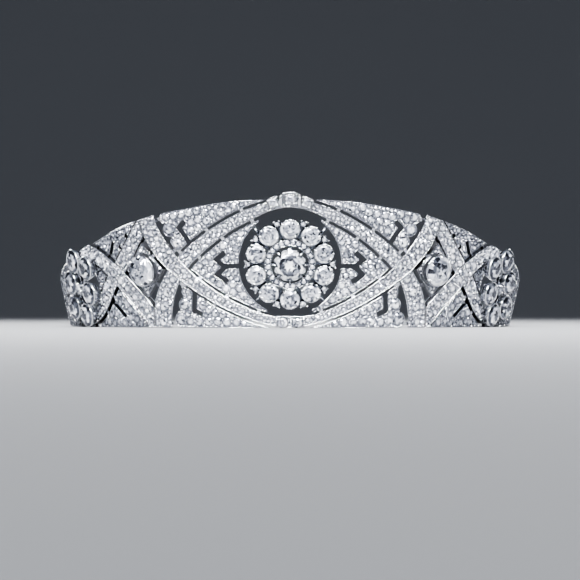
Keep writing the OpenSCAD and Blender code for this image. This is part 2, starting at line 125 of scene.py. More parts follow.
@dataclass(frozen=True)
class Wire:
    """A socket of a material, with arithmetic that adds Math nodes."""

    recipe: "Recipe"
    socket: bpy.types.NodeSocket | None

    def _sum(self, operation: str, first: object, second: object) -> "Wire":
        """Add one Math node on two values, each a number or a Wire."""
        return self.recipe.add("ShaderNodeMath", {"operation": operation}, {0: first, 1: second})

    def __add__(self, other: object) -> "Wire":
        """Add."""
        return self._sum("ADD", self, other)

    def __radd__(self, other: object) -> "Wire":
        """Add, reflected."""
        return self._sum("ADD", other, self)

    def __sub__(self, other: object) -> "Wire":
        """Subtract."""
        return self._sum("SUBTRACT", self, other)

    def __rsub__(self, other: object) -> "Wire":
        """Subtract, reflected."""
        return self._sum("SUBTRACT", other, self)

    def __mul__(self, other: object) -> "Wire":
        """Multiply."""
        return self._sum("MULTIPLY", self, other)

    def __rmul__(self, other: object) -> "Wire":
        """Multiply, reflected."""
        return self._sum("MULTIPLY", other, self)


class Recipe:
    """A material in the making: its node tree and the one way of adding to it."""

    def __init__(self, name: str) -> None:
        """Start an empty node tree under that name.

        Args:
            name: the material's name.
        """
        self.material = bpy.data.materials.new(name)
        self.material.use_nodes = True
        self.tree = self.material.node_tree
        self.tree.nodes.clear()

    def add(self, kind: str, settings: Mapping[str, object] | None = None,
            inputs: Mapping[object, object] | None = None, output: object = 0) -> Wire:
        """Add a node.

        Args:
            kind: the node's type.
            settings: properties set first; "stops" holds a ramp's stops, as places and colours.
            inputs: a value or a Wire for each socket, by name or index.
            output: the socket that is wanted, by name or index.

        Returns:
            That output socket.
        """
        node = self.tree.nodes.new(kind)
        for key, value in (settings or {}).items():
            if key == "stops":
                ramp = node.color_ramp
                while len(ramp.elements) < len(value):
                    ramp.elements.new(0.5)
                for element, (place, colour) in zip(ramp.elements, value):
                    element.position = place
                    element.color = (*colour, 1.0)
            else:
                setattr(node, key, value)
        for key, value in (inputs or {}).items():
            if isinstance(value, Wire):
                self.tree.links.new(value.socket, node.inputs[key])
            else:
                node.inputs[key].default_value = value
        return Wire(self, node.outputs[output] if len(node.outputs) else None)

    def place(self) -> Wire:
        """Object coordinates, which are the row frame in metres."""
        return self.add("ShaderNodeTexCoord", output="Object")

    def noise(self, scale: float, detail: float = 2.0, rough: float = 0.5) -> Wire:
        """Noise on Object coordinates, scale in features a metre."""
        return self.add("ShaderNodeTexNoise", {"noise_dimensions": "3D"},
                        {"Vector": self.place(), "Scale": scale, "Detail": detail, "Roughness": rough})

    def parts(self) -> list[Wire]:
        """Object coordinates as three numbers."""
        split = self.add("ShaderNodeSeparateXYZ", None, {"Vector": self.place()})
        return [Wire(self, socket) for socket in split.socket.node.outputs]

    def ramp(self, value: Wire, stops: Sequence[tuple[float, Colour]]) -> Wire:
        """A colour picked by a number."""
        return self.add("ShaderNodeValToRGB", {"stops": stops}, {"Fac": value})

    def between(self, value: Wire, low: float, high: float) -> Wire:
        """A number from 0 to 1 stretched over a range, clamped."""
        return self.add("ShaderNodeMapRange", {"clamp": True},
                        {"Value": value, "To Min": low, "To Max": high})

    def wear(self, scale: float = 1100.0) -> Wire:
        """Fine noise of worn metal."""
        return self.noise(scale, 4.0, 0.62)

    def clouded(self, colour: Colour, scale: float, dark: float, low: float, high: float = 0.7) -> Wire:
        """A colour with clouds dark times as bright, from the noise at low up to high."""
        return self.ramp(self.noise(scale), [(low, tuple(dark * c for c in colour)), (high, colour)])

    def metal(self, colour: Wire, wear: Wire, shine: tuple[float, float],
              dent: float) -> bpy.types.Material:
        """Close the tree as metal whose roughness, from least to most, and dents follow its wear.

        Args:
            colour: its colour.
            wear: noise that changes its surface.
            shine: its least and its greatest roughness.
            dent: the strength of its dents.

        Returns:
            The finished material.
        """
        dents = self.add("ShaderNodeBump", None, {"Height": wear, "Strength": dent, "Distance": WEAR_DEPTH})
        return self.finish({"Base Color": colour, "Metallic": 1.0,
                            "Roughness": self.between(wear, *shine), "Normal": dents})

    def finish(self, sockets: Mapping[str, object]) -> bpy.types.Material:
        """Close the tree with one Principled shader.

        Args:
            sockets: values and Wires for the shader's sockets.

        Returns:
            The finished material.
        """
        shader = self.add("ShaderNodeBsdfPrincipled", None, sockets)
        self.add("ShaderNodeOutputMaterial", None, {"Surface": shader})
        return self.material


# Finishes


@dataclass(frozen=True)
class WhiteMetal:
    """White metal with fine wear."""

    name: str
    colour: Colour = (0.80, 0.81, 0.83)
    shine: tuple[float, float] = (0.10, 0.24)
    wear_scale: float = 900.0
    dent: float = 0.10
    cloud_size: float = 7.0
    cloud: float = 0.86
    cloud_to: float = 0.25

    def make(self) -> bpy.types.Material:
        """Mix the material.

        Returns:
            The finished material.
        """
        recipe = Recipe(self.name)
        shade = recipe.clouded(self.colour, self.wear_scale / self.cloud_size, self.cloud, self.cloud_to)
        return recipe.metal(shade, recipe.wear(self.wear_scale), self.shine, self.dent)


@dataclass(frozen=True)
class PaveGround:
    """White metal, bright behind and on the small bars, with painted shade on the outer faces and near-black
    painted shade in the piercing.

    Its colour goes by the height out from the plates. Shaded grounds are the colours of painted shade on the
    outer faces between the stones, one for each Level, darkest on the plates; wall is the near-black painted
    shade on the walls of the piercing; behind is where the back ends; bar is the height of the bars' outer
    faces.
    """

    name: str
    colour: Colour = (0.66, 0.67, 0.70)
    # Painted shade between the stones, one colour for each Level.
    grounds: tuple[Colour, ...] = ((0.30, 0.31, 0.35), (0.42, 0.43, 0.47), (0.44, 0.45, 0.49))
    # Near-black painted shade on the walls of the piercing.
    wall: Colour = (0.035, 0.036, 0.042)
    behind: tuple[float, float] = (-1.3 * MM, -1.22 * MM)
    bar: float = -0.15 * MM
    lowest: float = -1.5 * MM
    tall: float = 2.4 * MM
    edge: float = 0.05 * MM
    shine: tuple[float, float] = (0.14, 0.34)
    dent: float = 0.15

    def make(self) -> bpy.types.Material:
        """Mix the material.

        Returns:
            The finished material.
        """
        recipe = Recipe(self.name)
        x, y, z = recipe.parts()
        radius = recipe.add("ShaderNodeMath", {"operation": "SQRT"}, {0: x * x + y * y})
        out = (radius - WALL.foot_radius) * math.cos(WALL.lean) - z * math.sin(WALL.lean)
        bands = [(self.behind[0], self.colour), (self.behind[1], self.wall),
                 (self.bar - self.edge, self.wall),
                 (self.bar - self.edge / 2, self.colour), (self.bar + self.edge / 2, self.colour)]
        for level, ground in zip(Level, self.grounds):
            bands += [(level.value + step * self.edge, colour)
                      for step, colour in ((-2, self.wall), (-1, ground), (1, ground), (2, self.wall))]
        stops = [((height - self.lowest) / self.tall, colour) for height, colour in bands]
        shade = recipe.ramp((out - self.lowest) * (1 / self.tall), stops)
        return recipe.metal(shade, recipe.wear(), self.shine, self.dent)


@dataclass(frozen=True)
class SettingMetal:
    """White metal of a setting that lies flat on the wall, with painted shade in the depths between its
    stones.

    Angle is where the setting is, in degrees, and back is the height of its back over the wall. It has
    painted shade from a little over its back up to low, and is bright again from high.
    """

    name: str
    angle: float
    back: float
    low: float
    high: float
    colour: Colour = (0.80, 0.81, 0.84)
    shadow: Colour = (0.10, 0.11, 0.13)
    rise: tuple[float, float] = (0.12, 0.2)
    ragged: float = 0.05
    shine: tuple[float, float] = (0.10, 0.28)
    dent: float = 0.10

    def make(self) -> bpy.types.Material:
        """Mix the material.

        Returns:
            The finished material.
        """
        recipe = Recipe(self.name)
        x, y, z = recipe.parts()
        facing = WALL.seat(WALL.along(self.angle), 0.0).to_3x3() @ Vector((0, 0, 1))
        out = x * facing.x + y * facing.y + z * facing.z - WALL.foot_radius * math.cos(WALL.lean)
        wear = recipe.wear()
        tall = self.high - self.back
        # Painted shade: dark in the depths between the stones, by height out from the wall.
        shade = recipe.ramp((out - self.back) * (1 / tall) + wear * self.ragged, [
            (self.rise[0], self.colour), (self.rise[1], self.shadow),
            ((self.low - self.back) / tall, self.shadow), (1.0, self.colour)])
        return recipe.metal(shade, wear, self.shine, self.dent)


@dataclass(frozen=True)
class Glitter:
    """Cut stones with painted light: each facet has its own painted brightness for its reflections and
    glints, kept on the mesh as tone.
    """

    name: str
    # Painted light: dark, middle and light reflections and white glints of the facets.
    dark: Colour = (0.014, 0.016, 0.022)
    middle: Colour = (0.15, 0.16, 0.19)
    light: Colour = (0.50, 0.52, 0.57)
    flash: Colour = (1.0, 1.0, 1.0)

    def make(self) -> bpy.types.Material:
        """Mix the material.

        Returns:
            The finished material.
        """
        recipe = Recipe(self.name)
        tone = recipe.add("ShaderNodeAttribute", {"attribute_name": "tone"}, output="Fac")
        return recipe.finish({
            "Base Color": recipe.ramp(tone, [
                (0.0, self.dark), (0.45, self.middle), (0.8, self.light), (1.0, self.flash)]),
            "Metallic": 0.4,
            "Roughness": recipe.between(tone, 0.05, 0.12),
            "IOR": 1.5,
            "Coat Weight": 0.12,
            "Coat Roughness": 0.02,
        })


@dataclass(frozen=True)
class Paper:
    """Matt surface of the floor and the backdrop."""

    name: str
    colour: Colour = (0.24, 0.245, 0.255)
    rough: float = 0.85

    def make(self) -> bpy.types.Material:
        """Mix the material.

        Returns:
            The finished material.
        """
        recipe = Recipe(self.name)
        shade = recipe.clouded(self.colour, 3.0, 0.985, 0.3)
        return recipe.finish({"Base Color": shade, "Roughness": self.rough})


# The wall


@dataclass(frozen=True)
class Wall:
    """The sloping wall of the band."""

    foot_radius: float = 72.5 * MM
    lean: float = math.radians(12)
    eye_up: float = 19.2 * MM

    @property
    def run(self) -> float:
        """Metres along for each radian round."""
        return self.foot_radius + self.eye_up * math.sin(self.lean)

    def along(self, degrees: float) -> float:
        """Metres along at an angle round from the front."""
        return math.radians(degrees) * self.run

    def seat(self, along: float, up: float, out: float = 0.0, spin: float = 0.0) -> Matrix:
        """A frame on the wall, local Z out of it and local Y up it.

        Args:
            along: metres round from the front.
            up: metres up the slope.
            out: metres out from the plates' outer face.
            spin: turn about local Z, in radians.

        Returns:
            The frame's matrix.
        """
        return (turned(along / self.run)
                @ move(0, -self.foot_radius - up * math.sin(self.lean), up * math.cos(self.lean))
                @ turned(math.pi / 2 + self.lean, "X") @ move(z=out) @ turned(spin))

    def unroll(self, points: np.ndarray) -> tuple[np.ndarray, np.ndarray, np.ndarray]:
        """Read points of the row frame as places on the wall.

        Args:
            points: rows of x, y, z in metres.

        Returns:
            Their metres along, up and out.
        """
        beyond = np.hypot(points[:, 0], points[:, 1]) - self.foot_radius
        along = np.arctan2(points[:, 0], -points[:, 1]) * self.run
        sine, cosine = math.sin(self.lean), math.cos(self.lean)
        return along, points[:, 2] * cosine + beyond * sine, beyond * cosine - points[:, 2] * sine


WALL = Wall()


class Level(Enum):
    """Outer faces of the metalwork, by their height above the plates in metres."""

    PLATE = 0.0
    UNDER = 0.35 * MM
    OVER = 0.7 * MM


# Making meshes


class Bench:
    """A mesh in the making, from bmesh operators and stamped templates."""

    def __init__(self) -> None:
        """Start empty."""
        self.bm = bmesh.new()
        self.tone = self.bm.faces.layers.float.new("tone")

    def stamp(self, template: bpy.types.Mesh, matrix: Matrix, tones: Tones | None = None) -> None:
        """Add a copy of a template.

        Args:
            template: the mesh to copy.
            matrix: where it goes.
            tones: gives each facet's painted brightness, where wanted.
        """
        copy = template.copy()
        if tones is not None:
            copy.attributes["tone"].data.foreach_set("value", [tones(facet) for facet in copy.polygons])
        copy.transform(matrix)
        self.bm.from_mesh(copy)
        bpy.data.meshes.remove(copy)

    def cone(self, foot: float, top: float, depth: float, segments: int, matrix: Matrix) -> None:
        """Add a closed cone of these radii, height and sides, standing on local z = 0."""
        bmesh.ops.create_cone(self.bm, cap_ends=True, segments=segments, radius1=foot, radius2=top,
                              depth=depth, matrix=matrix @ move(z=depth / 2))

    def ball(self, radius: float, matrix: Matrix, fine: int = 1) -> None:
        """Add a small ball."""
        bmesh.ops.create_icosphere(self.bm, subdivisions=fine, radius=radius, matrix=matrix)

    def hoop(self, radius: float, wire: float, matrix: Matrix, steps: int = 32, sides: int = 6,
             sweep: float = math.tau) -> None:
        """Add a wire bent round local Z.

        Args:
            radius: of the wire's middle.
            wire: half its thickness.
            matrix: where it goes.
            steps: pieces round the hoop.
            sides: sides of the wire.
            sweep: how far round it goes, a full turn being a closed hoop.
        """
        full = sweep > math.tau - 0.001
        section = bmesh.ops.create_circle(
            self.bm, cap_ends=not full, segments=sides, radius=wire,
            matrix=move(radius) @ turned(math.pi / 2, "X"))
        verts = section["verts"]
        geom = [*dict.fromkeys(e for v in verts for e in v.link_edges),
                *dict.fromkeys(f for v in verts for f in v.link_faces)]
        before = set(self.bm.verts) - set(verts)
        bmesh.ops.spin(self.bm, geom=verts + geom, cent=(0, 0, 0), axis=(0, 0, 1), dvec=(0, 0, 0),
                       angle=sweep, steps=steps, use_merge=full, use_duplicate=False)
        made = [v for v in self.bm.verts if v not in before]
        faces = list(dict.fromkeys(f for v in made for f in v.link_faces))
        bmesh.ops.recalc_face_normals(self.bm, faces=faces)
        bmesh.ops.transform(self.bm, matrix=matrix, verts=made)

    def template(self, name: str) -> bpy.types.Mesh:
        """Close the bench into a mesh.

        Args:
            name: the mesh's name.

        Returns:
            The mesh.
        """
        mesh = bpy.data.meshes.new(name)
        self.bm.to_mesh(mesh)
        self.bm.free()
        return mesh

    def piece(self, name: str, materials: Sequence[bpy.types.Material], slot: str,
              smooth: bool = False, replaces: Sequence[str] = ()) -> None:
        """Close the bench into a finished piece that rides on the tiara.

        Args:
            name: the piece's name.
            materials: its materials, in slot order.
            slot: the record's material slot; not used.
            smooth: whether its faces are shaded smooth.
            replaces: CAD nodes that it stands for.
        """
        for face in self.bm.faces:
            face.smooth = smooth
        mesh = self.template(name)
        for material in materials:
            mesh.materials.append(material)
        thing = linked(name, mesh)
        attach(thing, BODY)
        if replaces:
            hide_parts(*replaces)
        LOG.info("%s: %d faces", name, len(mesh.polygons))


class Play(Enum):
    """How light plays in a large stone: brightness and share of dark patches, in rings from its middle."""

    STAR = ((1.0, 0.0), (0.95, 0.1), (0.50, 0.6), (0.62, 0.3), (0.97, 0.0))
    MOTTLED = ((0.80, 0.35), (0.60, 0.38), (0.58, 0.36), (0.68, 0.26), (0.82, 0.16))
    DEEP = ((0.20, 0.9), (0.38, 0.8), (0.66, 0.4), (0.82, 0.24), (0.30, 0.8))


@dataclass(frozen=True)
class Fire:
    """How bright each facet of a stone is painted, by where it lies on the stone: painted reflections and
    glints.

    Flash is how much brightness differs, and gloom the most that a dark facet has. A small stone has a mood,
    a dark patch of some half width and a table and slopes, given as brightness and share of dark facets. A
    large one has rings of patches, more light on one side, jitter inside a patch and a back like the slopes.
    """

    dice: random.Random
    flash: float = 0.2
    gloom: float = 0.36
    mood: tuple[float, float] = (-0.16, 0.08)
    patch: tuple[float, float] = (0.5, 0.9)
    table: tuple[float, float] = (0.88, 0.04)
    slopes: tuple[float, float] = (0.63, 0.26)
    back: tuple[float, float] = (0.72, 0.3)
    rings: tuple[float, ...] = (0.19, 0.37, 0.53, 0.84)
    sectors: int = 16
    one_side: float = 0.2
    jitter: float = 0.1

    def facet(self, middle: float, dark: float) -> float:
        """The brightness of one facet.

        Args:
            middle: what it is on the whole.
            dark: how often it is dark instead.

        Returns:
            A number from 0 to 1.
        """
        if self.dice.random() < dark:
            return self.dice.uniform(0.0, self.gloom)
        return min(max(self.dice.gauss(middle, self.flash), 0.0), 1.0)

    def small(self, dark: float = 0.3, shade: float = 0.0) -> Tones:
        """Painted brightness for a small stone: a bright table with darker facets round it.

        Args:
            dark: how often its table has a dark patch.
            shade: how much duller the whole stone is.

        Returns:
            The stone's way of picking brightness.
        """
        mood = self.dice.uniform(*self.mood) - shade
        aim = self.dice.uniform(-math.pi, math.pi)
        half = self.dice.uniform(*self.patch) if self.dice.random() < dark else 0.0

        def tone(facet: bpy.types.MeshPolygon) -> float:
            """The brightness of one facet of this stone.

            Args:
                facet: the facet.

            Returns:
                A number from 0 to 1.
            """
            x, y, _ = facet.center
            turn = abs((math.atan2(y, x) - aim + math.pi) % math.tau - math.pi)
            if facet.normal.z > 0.97:
                return self.facet(self.table[0] + mood, 1.0 if turn < half else self.table[1])
            return self.facet(self.slopes[0] + mood, self.slopes[1])
        return tone

    def large(self, play: Play = Play.MOTTLED, bright_side: float = 0.0) -> Tones:
        """Painted brightness for a large stone, in patches of a few facets.

        Args:
            play: how light plays in it.
            bright_side: the side that is brighter, in radians.

        Returns:
            The stone's way of picking brightness.
        """
        cells: dict[tuple[int, int], float] = {}

        def tone(facet: bpy.types.MeshPolygon) -> float:
            """The brightness of one facet of this stone.

            Args:
                facet: the facet.

            Returns:
                A number from 0 to 1.
            """
            x, y, _ = facet.center
            away, turn = math.hypot(x, y), math.atan2(y, x)
            if facet.normal.z < 0.2:
                return self.facet(*self.back)
            ring = sum(away > edge for edge in self.rings)
            cell = (ring, int(turn % math.tau / math.tau * self.sectors))
            if cell not in cells:
                cells[cell] = self.facet(*play.value[ring])
            side = self.one_side * away * math.cos(turn - bright_side)
            return min(max(self.dice.gauss(cells[cell] + side, self.jitter), 0.0), 1.0)
        return tone


class Cut(Enum):
    """How a stone is cut."""

    SINGLE = "eight crown facets round a table"
    CROWN = "full crown on a flat foot"
    FULL = "full crown and pavilion"


@dataclass(frozen=True)
class Lapidary:
    """Cuts stones of radius one by slicing a round blank with planes.

    Kite is how far up the large crown facets face; table_rings are the steps of the pattern in the table.
    """

    crown_slope: float = math.radians(34.5)
    break_slope: float = math.radians(41.0)
    star_slope: float = math.radians(19.0)
    pavilion_slope: float = math.radians(40.2)
    lower_slope: float = math.radians(41.8)
    table_height: float = 0.310
    star_radius: float = 0.555
    girdle: float = 0.035
    meet: float = 0.03
    relief: float = 0.007
    kite: tuple[float, float] = (0.80, 0.84)
    table_rings: tuple[float, ...] = (0.14, 0.18)
    single_table: float = 0.56
    single_tall: float = 0.33
    single_relief: float = 0.028
    sunk: float = 0.02

    def slice(self, bm: bmesh.types.BMesh, azimuth: float, slope: float, through: Vector) -> None:
        """Cut away what lies beyond one facet.

        Args:
            bm: the stone.
            azimuth: the way the facet faces, in radians.
            slope: its lean from level, negative for a facet that faces down.
            through: a point of the facet, as radius and height.
        """
        lift = 1 if slope >= 0 else -1
        steep = math.sin(abs(slope))
        normal = Vector((steep * math.cos(azimuth), steep * math.sin(azimuth), lift * math.cos(slope)))
        point = Vector((through.x * math.cos(azimuth), through.x * math.sin(azimuth), through.y))
        cut = bmesh.ops.bisect_plane(
            bm, geom=bm.verts[:] + bm.edges[:] + bm.faces[:], dist=1e-6, plane_co=point, plane_no=normal,
            clear_outer=True)
        edges = [e for e in cut["geom_cut"] if isinstance(e, bmesh.types.BMEdge)]
        bmesh.ops.holes_fill(bm, edges=[e for e in edges if e.is_boundary], sides=0)

    def cut(self, kind: Cut) -> bpy.types.Mesh:
        """Cut one stone.

        Args:
            kind: the cut.

        Returns:
            Its mesh, radius one, girdle at z = 0.
        """
        bench = Bench()
        bm = bench.bm
        if kind is Cut.SINGLE:
            bench.cone(1.0, self.single_table, self.single_tall, 8, move(z=-self.sunk))
            bmesh.ops.poke(bm, faces=[top_face(bm)], offset=self.single_relief)
            return bench.template("single_cut")
        top = Vector((1.0, self.girdle))
        bottom = Vector((1.0, -self.girdle))
        half_step = math.radians(11.25)
        ring = [k * math.tau / 8 for k in range(8)]
        halves = [half_step + k * math.tau / 16 for k in range(16)]
        deep = kind is Cut.FULL
        below = 1.0 if deep else 0.05
        bench.cone(1.0, 1.0, 1.0 + below, 32, move(z=-below))
        self.slice(bm, 0.0, 0.0, Vector((0.0, self.table_height)))
        for azimuth in ring:
            self.slice(bm, azimuth, self.crown_slope, top)
        for azimuth in halves:
            self.slice(bm, azimuth, self.break_slope, Vector((math.cos(half_step), self.girdle)))
        tip = Vector((self.star_radius, self.table_height))
        for azimuth in ring:
            self.slice(bm, azimuth + math.tau / 16, self.star_slope, tip)
        if deep:
            for azimuth in ring:
                self.slice(bm, azimuth, -self.pavilion_slope, bottom)
            for azimuth in halves:
                self.slice(bm, azimuth, -self.lower_slope, Vector((math.cos(half_step), -self.girdle)))
        bmesh.ops.remove_doubles(bm, verts=bm.verts[:], dist=self.meet)
        self.star(bm)
        bmesh.ops.recalc_face_normals(bm, faces=bm.faces[:])
        return bench.template(kind.name.lower())

    def star(self, bm: bmesh.types.BMesh) -> None:
        """Divide the table as the pavilion facets seen through it do.

        Args:
            bm: the stone.
        """
        table = top_face(bm)
        kites = [f for f in bm.faces if self.kite[0] < f.normal.z < self.kite[1]]
        rings = []
        for width in self.table_rings:
            inset = bmesh.ops.inset_individual(bm, faces=[table], thickness=width, use_even_offset=True)
            rings += inset["faces"]
        fans = bmesh.ops.poke(bm, faces=[table, *rings, *kites])["faces"]
        bmesh.ops.poke(bm, faces=fans, offset=self.relief)


@dataclass
class Tools:
    """Templates and finishes shared by every sub-assembly."""

    polished: bpy.types.Material
    bright: bpy.types.Material
    satin: bpy.types.Material
    hollow: bpy.types.Material
    dull: bpy.types.Material
    ground: bpy.types.Material
    glitter: bpy.types.Material
    single: bpy.types.Mesh
    crown: bpy.types.Mesh
    full: bpy.types.Mesh
    grain: bpy.types.Mesh
    claw: bpy.types.Mesh
    azure: bpy.types.Mesh

    @classmethod
    def gather(cls) -> "Tools":
        """Mix the finishes and make the templates.

        Returns:
            The tools.
        """
        lapidary = Lapidary()
        return cls(
            polished=WhiteMetal("polished_metal").make(),
            bright=WhiteMetal("bright_edge_metal", (0.90, 0.91, 0.93), (0.05, 0.14), 1500.0, 0.05).make(),
            # Dark metal of the lozenges' plates: painted shade.
            satin=WhiteMetal("satin_metal", (0.22, 0.225, 0.245), (0.22, 0.38), 1300.0, 0.3).make(),
            # Near-black metal for painted shade: discs, marks and middles where openings, slots and recesses
            # would be.
            hollow=WhiteMetal("hollow_metal", (0.16, 0.17, 0.19), (0.12, 0.3), 1500.0, 0.1).make(),
            # Mid-grey metal of the discs under the small stones: painted shade of their seats.
            dull=WhiteMetal("seat_metal", (0.34, 0.35, 0.38), (0.16, 0.36), 1500.0, 0.1).make(),
            # Metal of the sections, with painted shade on the outer faces and in the piercing.
            ground=PaveGround("pave_ground").make(),
            glitter=Glitter("small_stone").make(),
            single=lapidary.cut(Cut.SINGLE),
            crown=lapidary.cut(Cut.CROWN),
            full=lapidary.cut(Cut.FULL),
            grain=cls.make_grain(),
            claw=cls.make_claw(),
            azure=cls.make_azure(),
        )

    @staticmethod
    def make_grain() -> bpy.types.Mesh:
        """A setting bead of radius one.

        Returns:
            The template.
        """
        bench = Bench()
        bench.ball(1.0, Matrix.Identity(4))
        return bench.template("grain")

    @staticmethod
    def make_claw() -> bpy.types.Mesh:
        """A claw one unit high that leans over towards -X, half a unit thick.

        Returns:
            The template.
        """
        bench = Bench()
        bench.cone(0.30, 0.22, 0.9, 8, Matrix.Identity(4))
        bench.ball(0.27, move(-0.10, 0, 0.92) @ stretched(1.25, 1.0, 0.75), 2)
        return bench.template("claw")

    @staticmethod
    def make_azure() -> bpy.types.Mesh:
        """The ring behind a small stone, radius one, with a middle of painted shade in slot 1 in place of an
        opening.

        Returns:
            The template.
        """
        bench = Bench()
        bench.cone(1.0, 0.9, 0.16, 8, Matrix.Identity(4))
        top = top_face(bench.bm)
        bmesh.ops.inset_individual(bench.bm, faces=[top], thickness=0.24, depth=-0.10, use_even_offset=True)
        top.material_index = 1
        return bench.template("azure")


# Small stones on the plates


@dataclass(frozen=True)
class Stone:
    """A small stone or bead on the wall."""

    along: float
    up: float
    radius: float
    out: float
    owner: int


@dataclass(frozen=True)
class Patch:
    """A stretch of the metalwork and the stones that it takes.

    Nodes and level say which faces; low and high bound the angle round from the front, in degrees; floor
    and roof bound the height up the wall and sizes are stone radii, largest first, in millimetres.
    """

    nodes: str
    level: Level
    sizes: tuple[float, ...]
    low: float = 0.0
    high: float = 90.0
    floor: float = -1.0
    roof: float = 60.0


@dataclass
class Plates:
    """The outer faces of the metalwork, drawn as a map, and the stones packed on them.

    Cell is the map's step; rim is left free at edges and gap between stones; pull is how strongly a stone
    keeps to the last one; beads are the radii of the beads that fill what is left.
    """

    nodes: tuple[str, ...] = ("front_section", "lozenge_section_left", "lozenge_section_right",
                              "flower_section_left", "flower_section_right")
    cell: float = 0.1 * MM
    reach: float = 110 * MM
    top: float = 40 * MM
    rim: float = 0.20 * MM
    gap: float = 0.03 * MM
    far: int = 24
    flatness: float = 0.06 * MM
    pull: float = 0.25
    beads: tuple[float, ...] = (0.3 * MM, 0.22 * MM)
    stones: list[Stone] = field(default_factory=list)
    grains: list[Stone] = field(default_factory=list)

    def __post_init__(self) -> None:
        """Draw the map of the plates and measure how far each cell is from an edge."""
        self.shape = (round(self.top / self.cell), round(2 * self.reach / self.cell))
        self.level = np.full(self.shape, -1, np.int8)
        self.owner = np.full(self.shape, -1, np.int8)
        for index, name in enumerate(self.nodes):
            self.draw(index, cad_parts[name].data)
        clear = np.zeros(self.shape)
        for number in range(len(Level)):
            for index in range(len(self.nodes)):
                mask = (self.level == number) & (self.owner == index)
                if mask.any():
                    clear = np.where(mask, self.distance(mask) * self.cell - self.rim, clear)
        self.clear = clear

    def draw(self, index: int, mesh: bpy.types.Mesh) -> None:
        """Fill in the cells under the outer faces of one node.

        Args:
            index: the node's number.
            mesh: its mesh.
        """
        count = len(mesh.vertices)
        points = np.empty(count * 3)
        mesh.vertices.foreach_get("co", points)
        along, up, out = WALL.unroll(points.reshape(-1, 3))
        mesh.calc_loop_triangles()
        corners = np.empty(len(mesh.loop_triangles) * 3, np.int64)
        mesh.loop_triangles.foreach_get("vertices", corners)
        corners = corners.reshape(-1, 3)
        heights = out[corners]
        for number, level in enumerate(Level):
            flat = (np.abs(heights - level.value) < self.flatness).all(axis=1)
            for tri in corners[flat]:
                self.fill(along[tri], up[tri], number, index)

    def fill(self, along: np.ndarray, up: np.ndarray, number: int, index: int) -> None:
        """Fill in the cells inside one triangle.

        Args:
            along: its corners' places along the wall.
            up: their places up it.
            number: the level's number.
            index: the node's number.
        """
        x = (along + self.reach) / self.cell - 0.5
        y = up / self.cell - 0.5
        area = (x[1] - x[0]) * (y[2] - y[0]) - (x[2] - x[0]) * (y[1] - y[0])
        if abs(area) < 1e-3:
            return
        x0, x1 = max(int(x.min()), 0), min(int(x.max()) + 2, self.shape[1])
        y0, y1 = max(int(y.min()), 0), min(int(y.max()) + 2, self.shape[0])
        if x1 <= x0 or y1 <= y0:
            return
        gx, gy = np.meshgrid(np.arange(x0, x1), np.arange(y0, y1))
        inside = np.ones(gx.shape, bool)
        for a, b in ((0, 1), (1, 2), (2, 0)):
            side = (x[b] - x[a]) * (gy - y[a]) - (y[b] - y[a]) * (gx - x[a])
            inside &= side * math.copysign(1, area) >= -0.01 * abs(area) ** 0.5
        self.level[y0:y1, x0:x1][inside] = number
        self.owner[y0:y1, x0:x1][inside] = index

    def distance(self, mask: np.ndarray) -> np.ndarray:
        """Cells from each cell of the mask to the nearest one outside it, capped.

        Args:
            mask: the cells that are inside.

        Returns:
            The distances, far at most.
        """
        rows, columns = mask.shape
        place = np.broadcast_to(np.arange(columns), mask.shape)
        left = place - np.maximum.accumulate(np.where(mask, -self.far, place), axis=1)
        flipped = np.where(mask, columns + self.far, place)[:, ::-1]
        right = np.minimum.accumulate(flipped, axis=1)[:, ::-1] - place
        across = np.minimum(np.minimum(left, right), self.far).astype(float) ** 2
        best = across.copy()
        for shift in range(1, self.far + 1):
            best[shift:] = np.minimum(best[shift:], across[:-shift] + shift * shift)
            best[:-shift] = np.minimum(best[:-shift], across[shift:] + shift * shift)
            best[:shift] = np.minimum(best[:shift], (np.arange(shift) + 1.0)[:, None] ** 2)
        return np.sqrt(best)

    def cells(self, patch: Patch) -> np.ndarray:
        """Which cells belong to a patch.

        Args:
            patch: the patch.

        Returns:
            A mask of the map.
        """
        number = list(Level).index(patch.level)
        owners = [i for i, name in enumerate(self.nodes) if name.startswith(patch.nodes)]
        columns = np.abs((np.arange(self.shape[1]) + 0.5) * self.cell - self.reach) / WALL.along(1.0)
        rows = (np.arange(self.shape[0]) + 0.5) * self.cell / MM
        return ((self.level == number) & np.isin(self.owner, owners)
                & ((columns >= patch.low) & (columns < patch.high))[None, :]
                & ((rows >= patch.floor) & (rows < patch.roof))[:, None])

    def set_stone(self, along: float, up: float, radius: float, least: float = 0.4 * MM) -> None:
        """Set one stone at a given place, smaller if it has to be.

        Args:
            along: its place along the wall.
            up: its place up the wall.
            radius: the radius that is wanted.
            least: the smallest that is worth setting.
        """
        row, column = int(up / self.cell), int((along + self.reach) / self.cell)
        radius = min(radius, self.clear[row, column])
        if self.level[row, column] >= 0 and radius >= least:
            self.keep(row, column, radius, self.stones)

    def keep(self, row: int, column: int, radius: float, pile: list[Stone]) -> None:
        """Record a stone or bead and mark its room as taken.

        Args:
            row: the row of its cell.
            column: the column of its cell.
            radius: its radius.
            pile: the list it joins.
        """
        along = (column + 0.5) * self.cell - self.reach
        up = (row + 0.5) * self.cell
        out = list(Level)[self.level[row, column]].value
        pile.append(Stone(along, up, radius, out, int(self.owner[row, column])))
        span = int((radius + 3 * MM) / self.cell)
        y0, y1 = max(row - span, 0), min(row + span + 1, self.shape[0])
        x0, x1 = max(column - span, 0), min(column + span + 1, self.shape[1])
        gy, gx = np.ogrid[y0 - row:y1 - row, x0 - column:x1 - column]
        room = np.hypot(gy, gx) * self.cell - radius - self.gap
        self.clear[y0:y1, x0:x1] = np.minimum(self.clear[y0:y1, x0:x1], room)

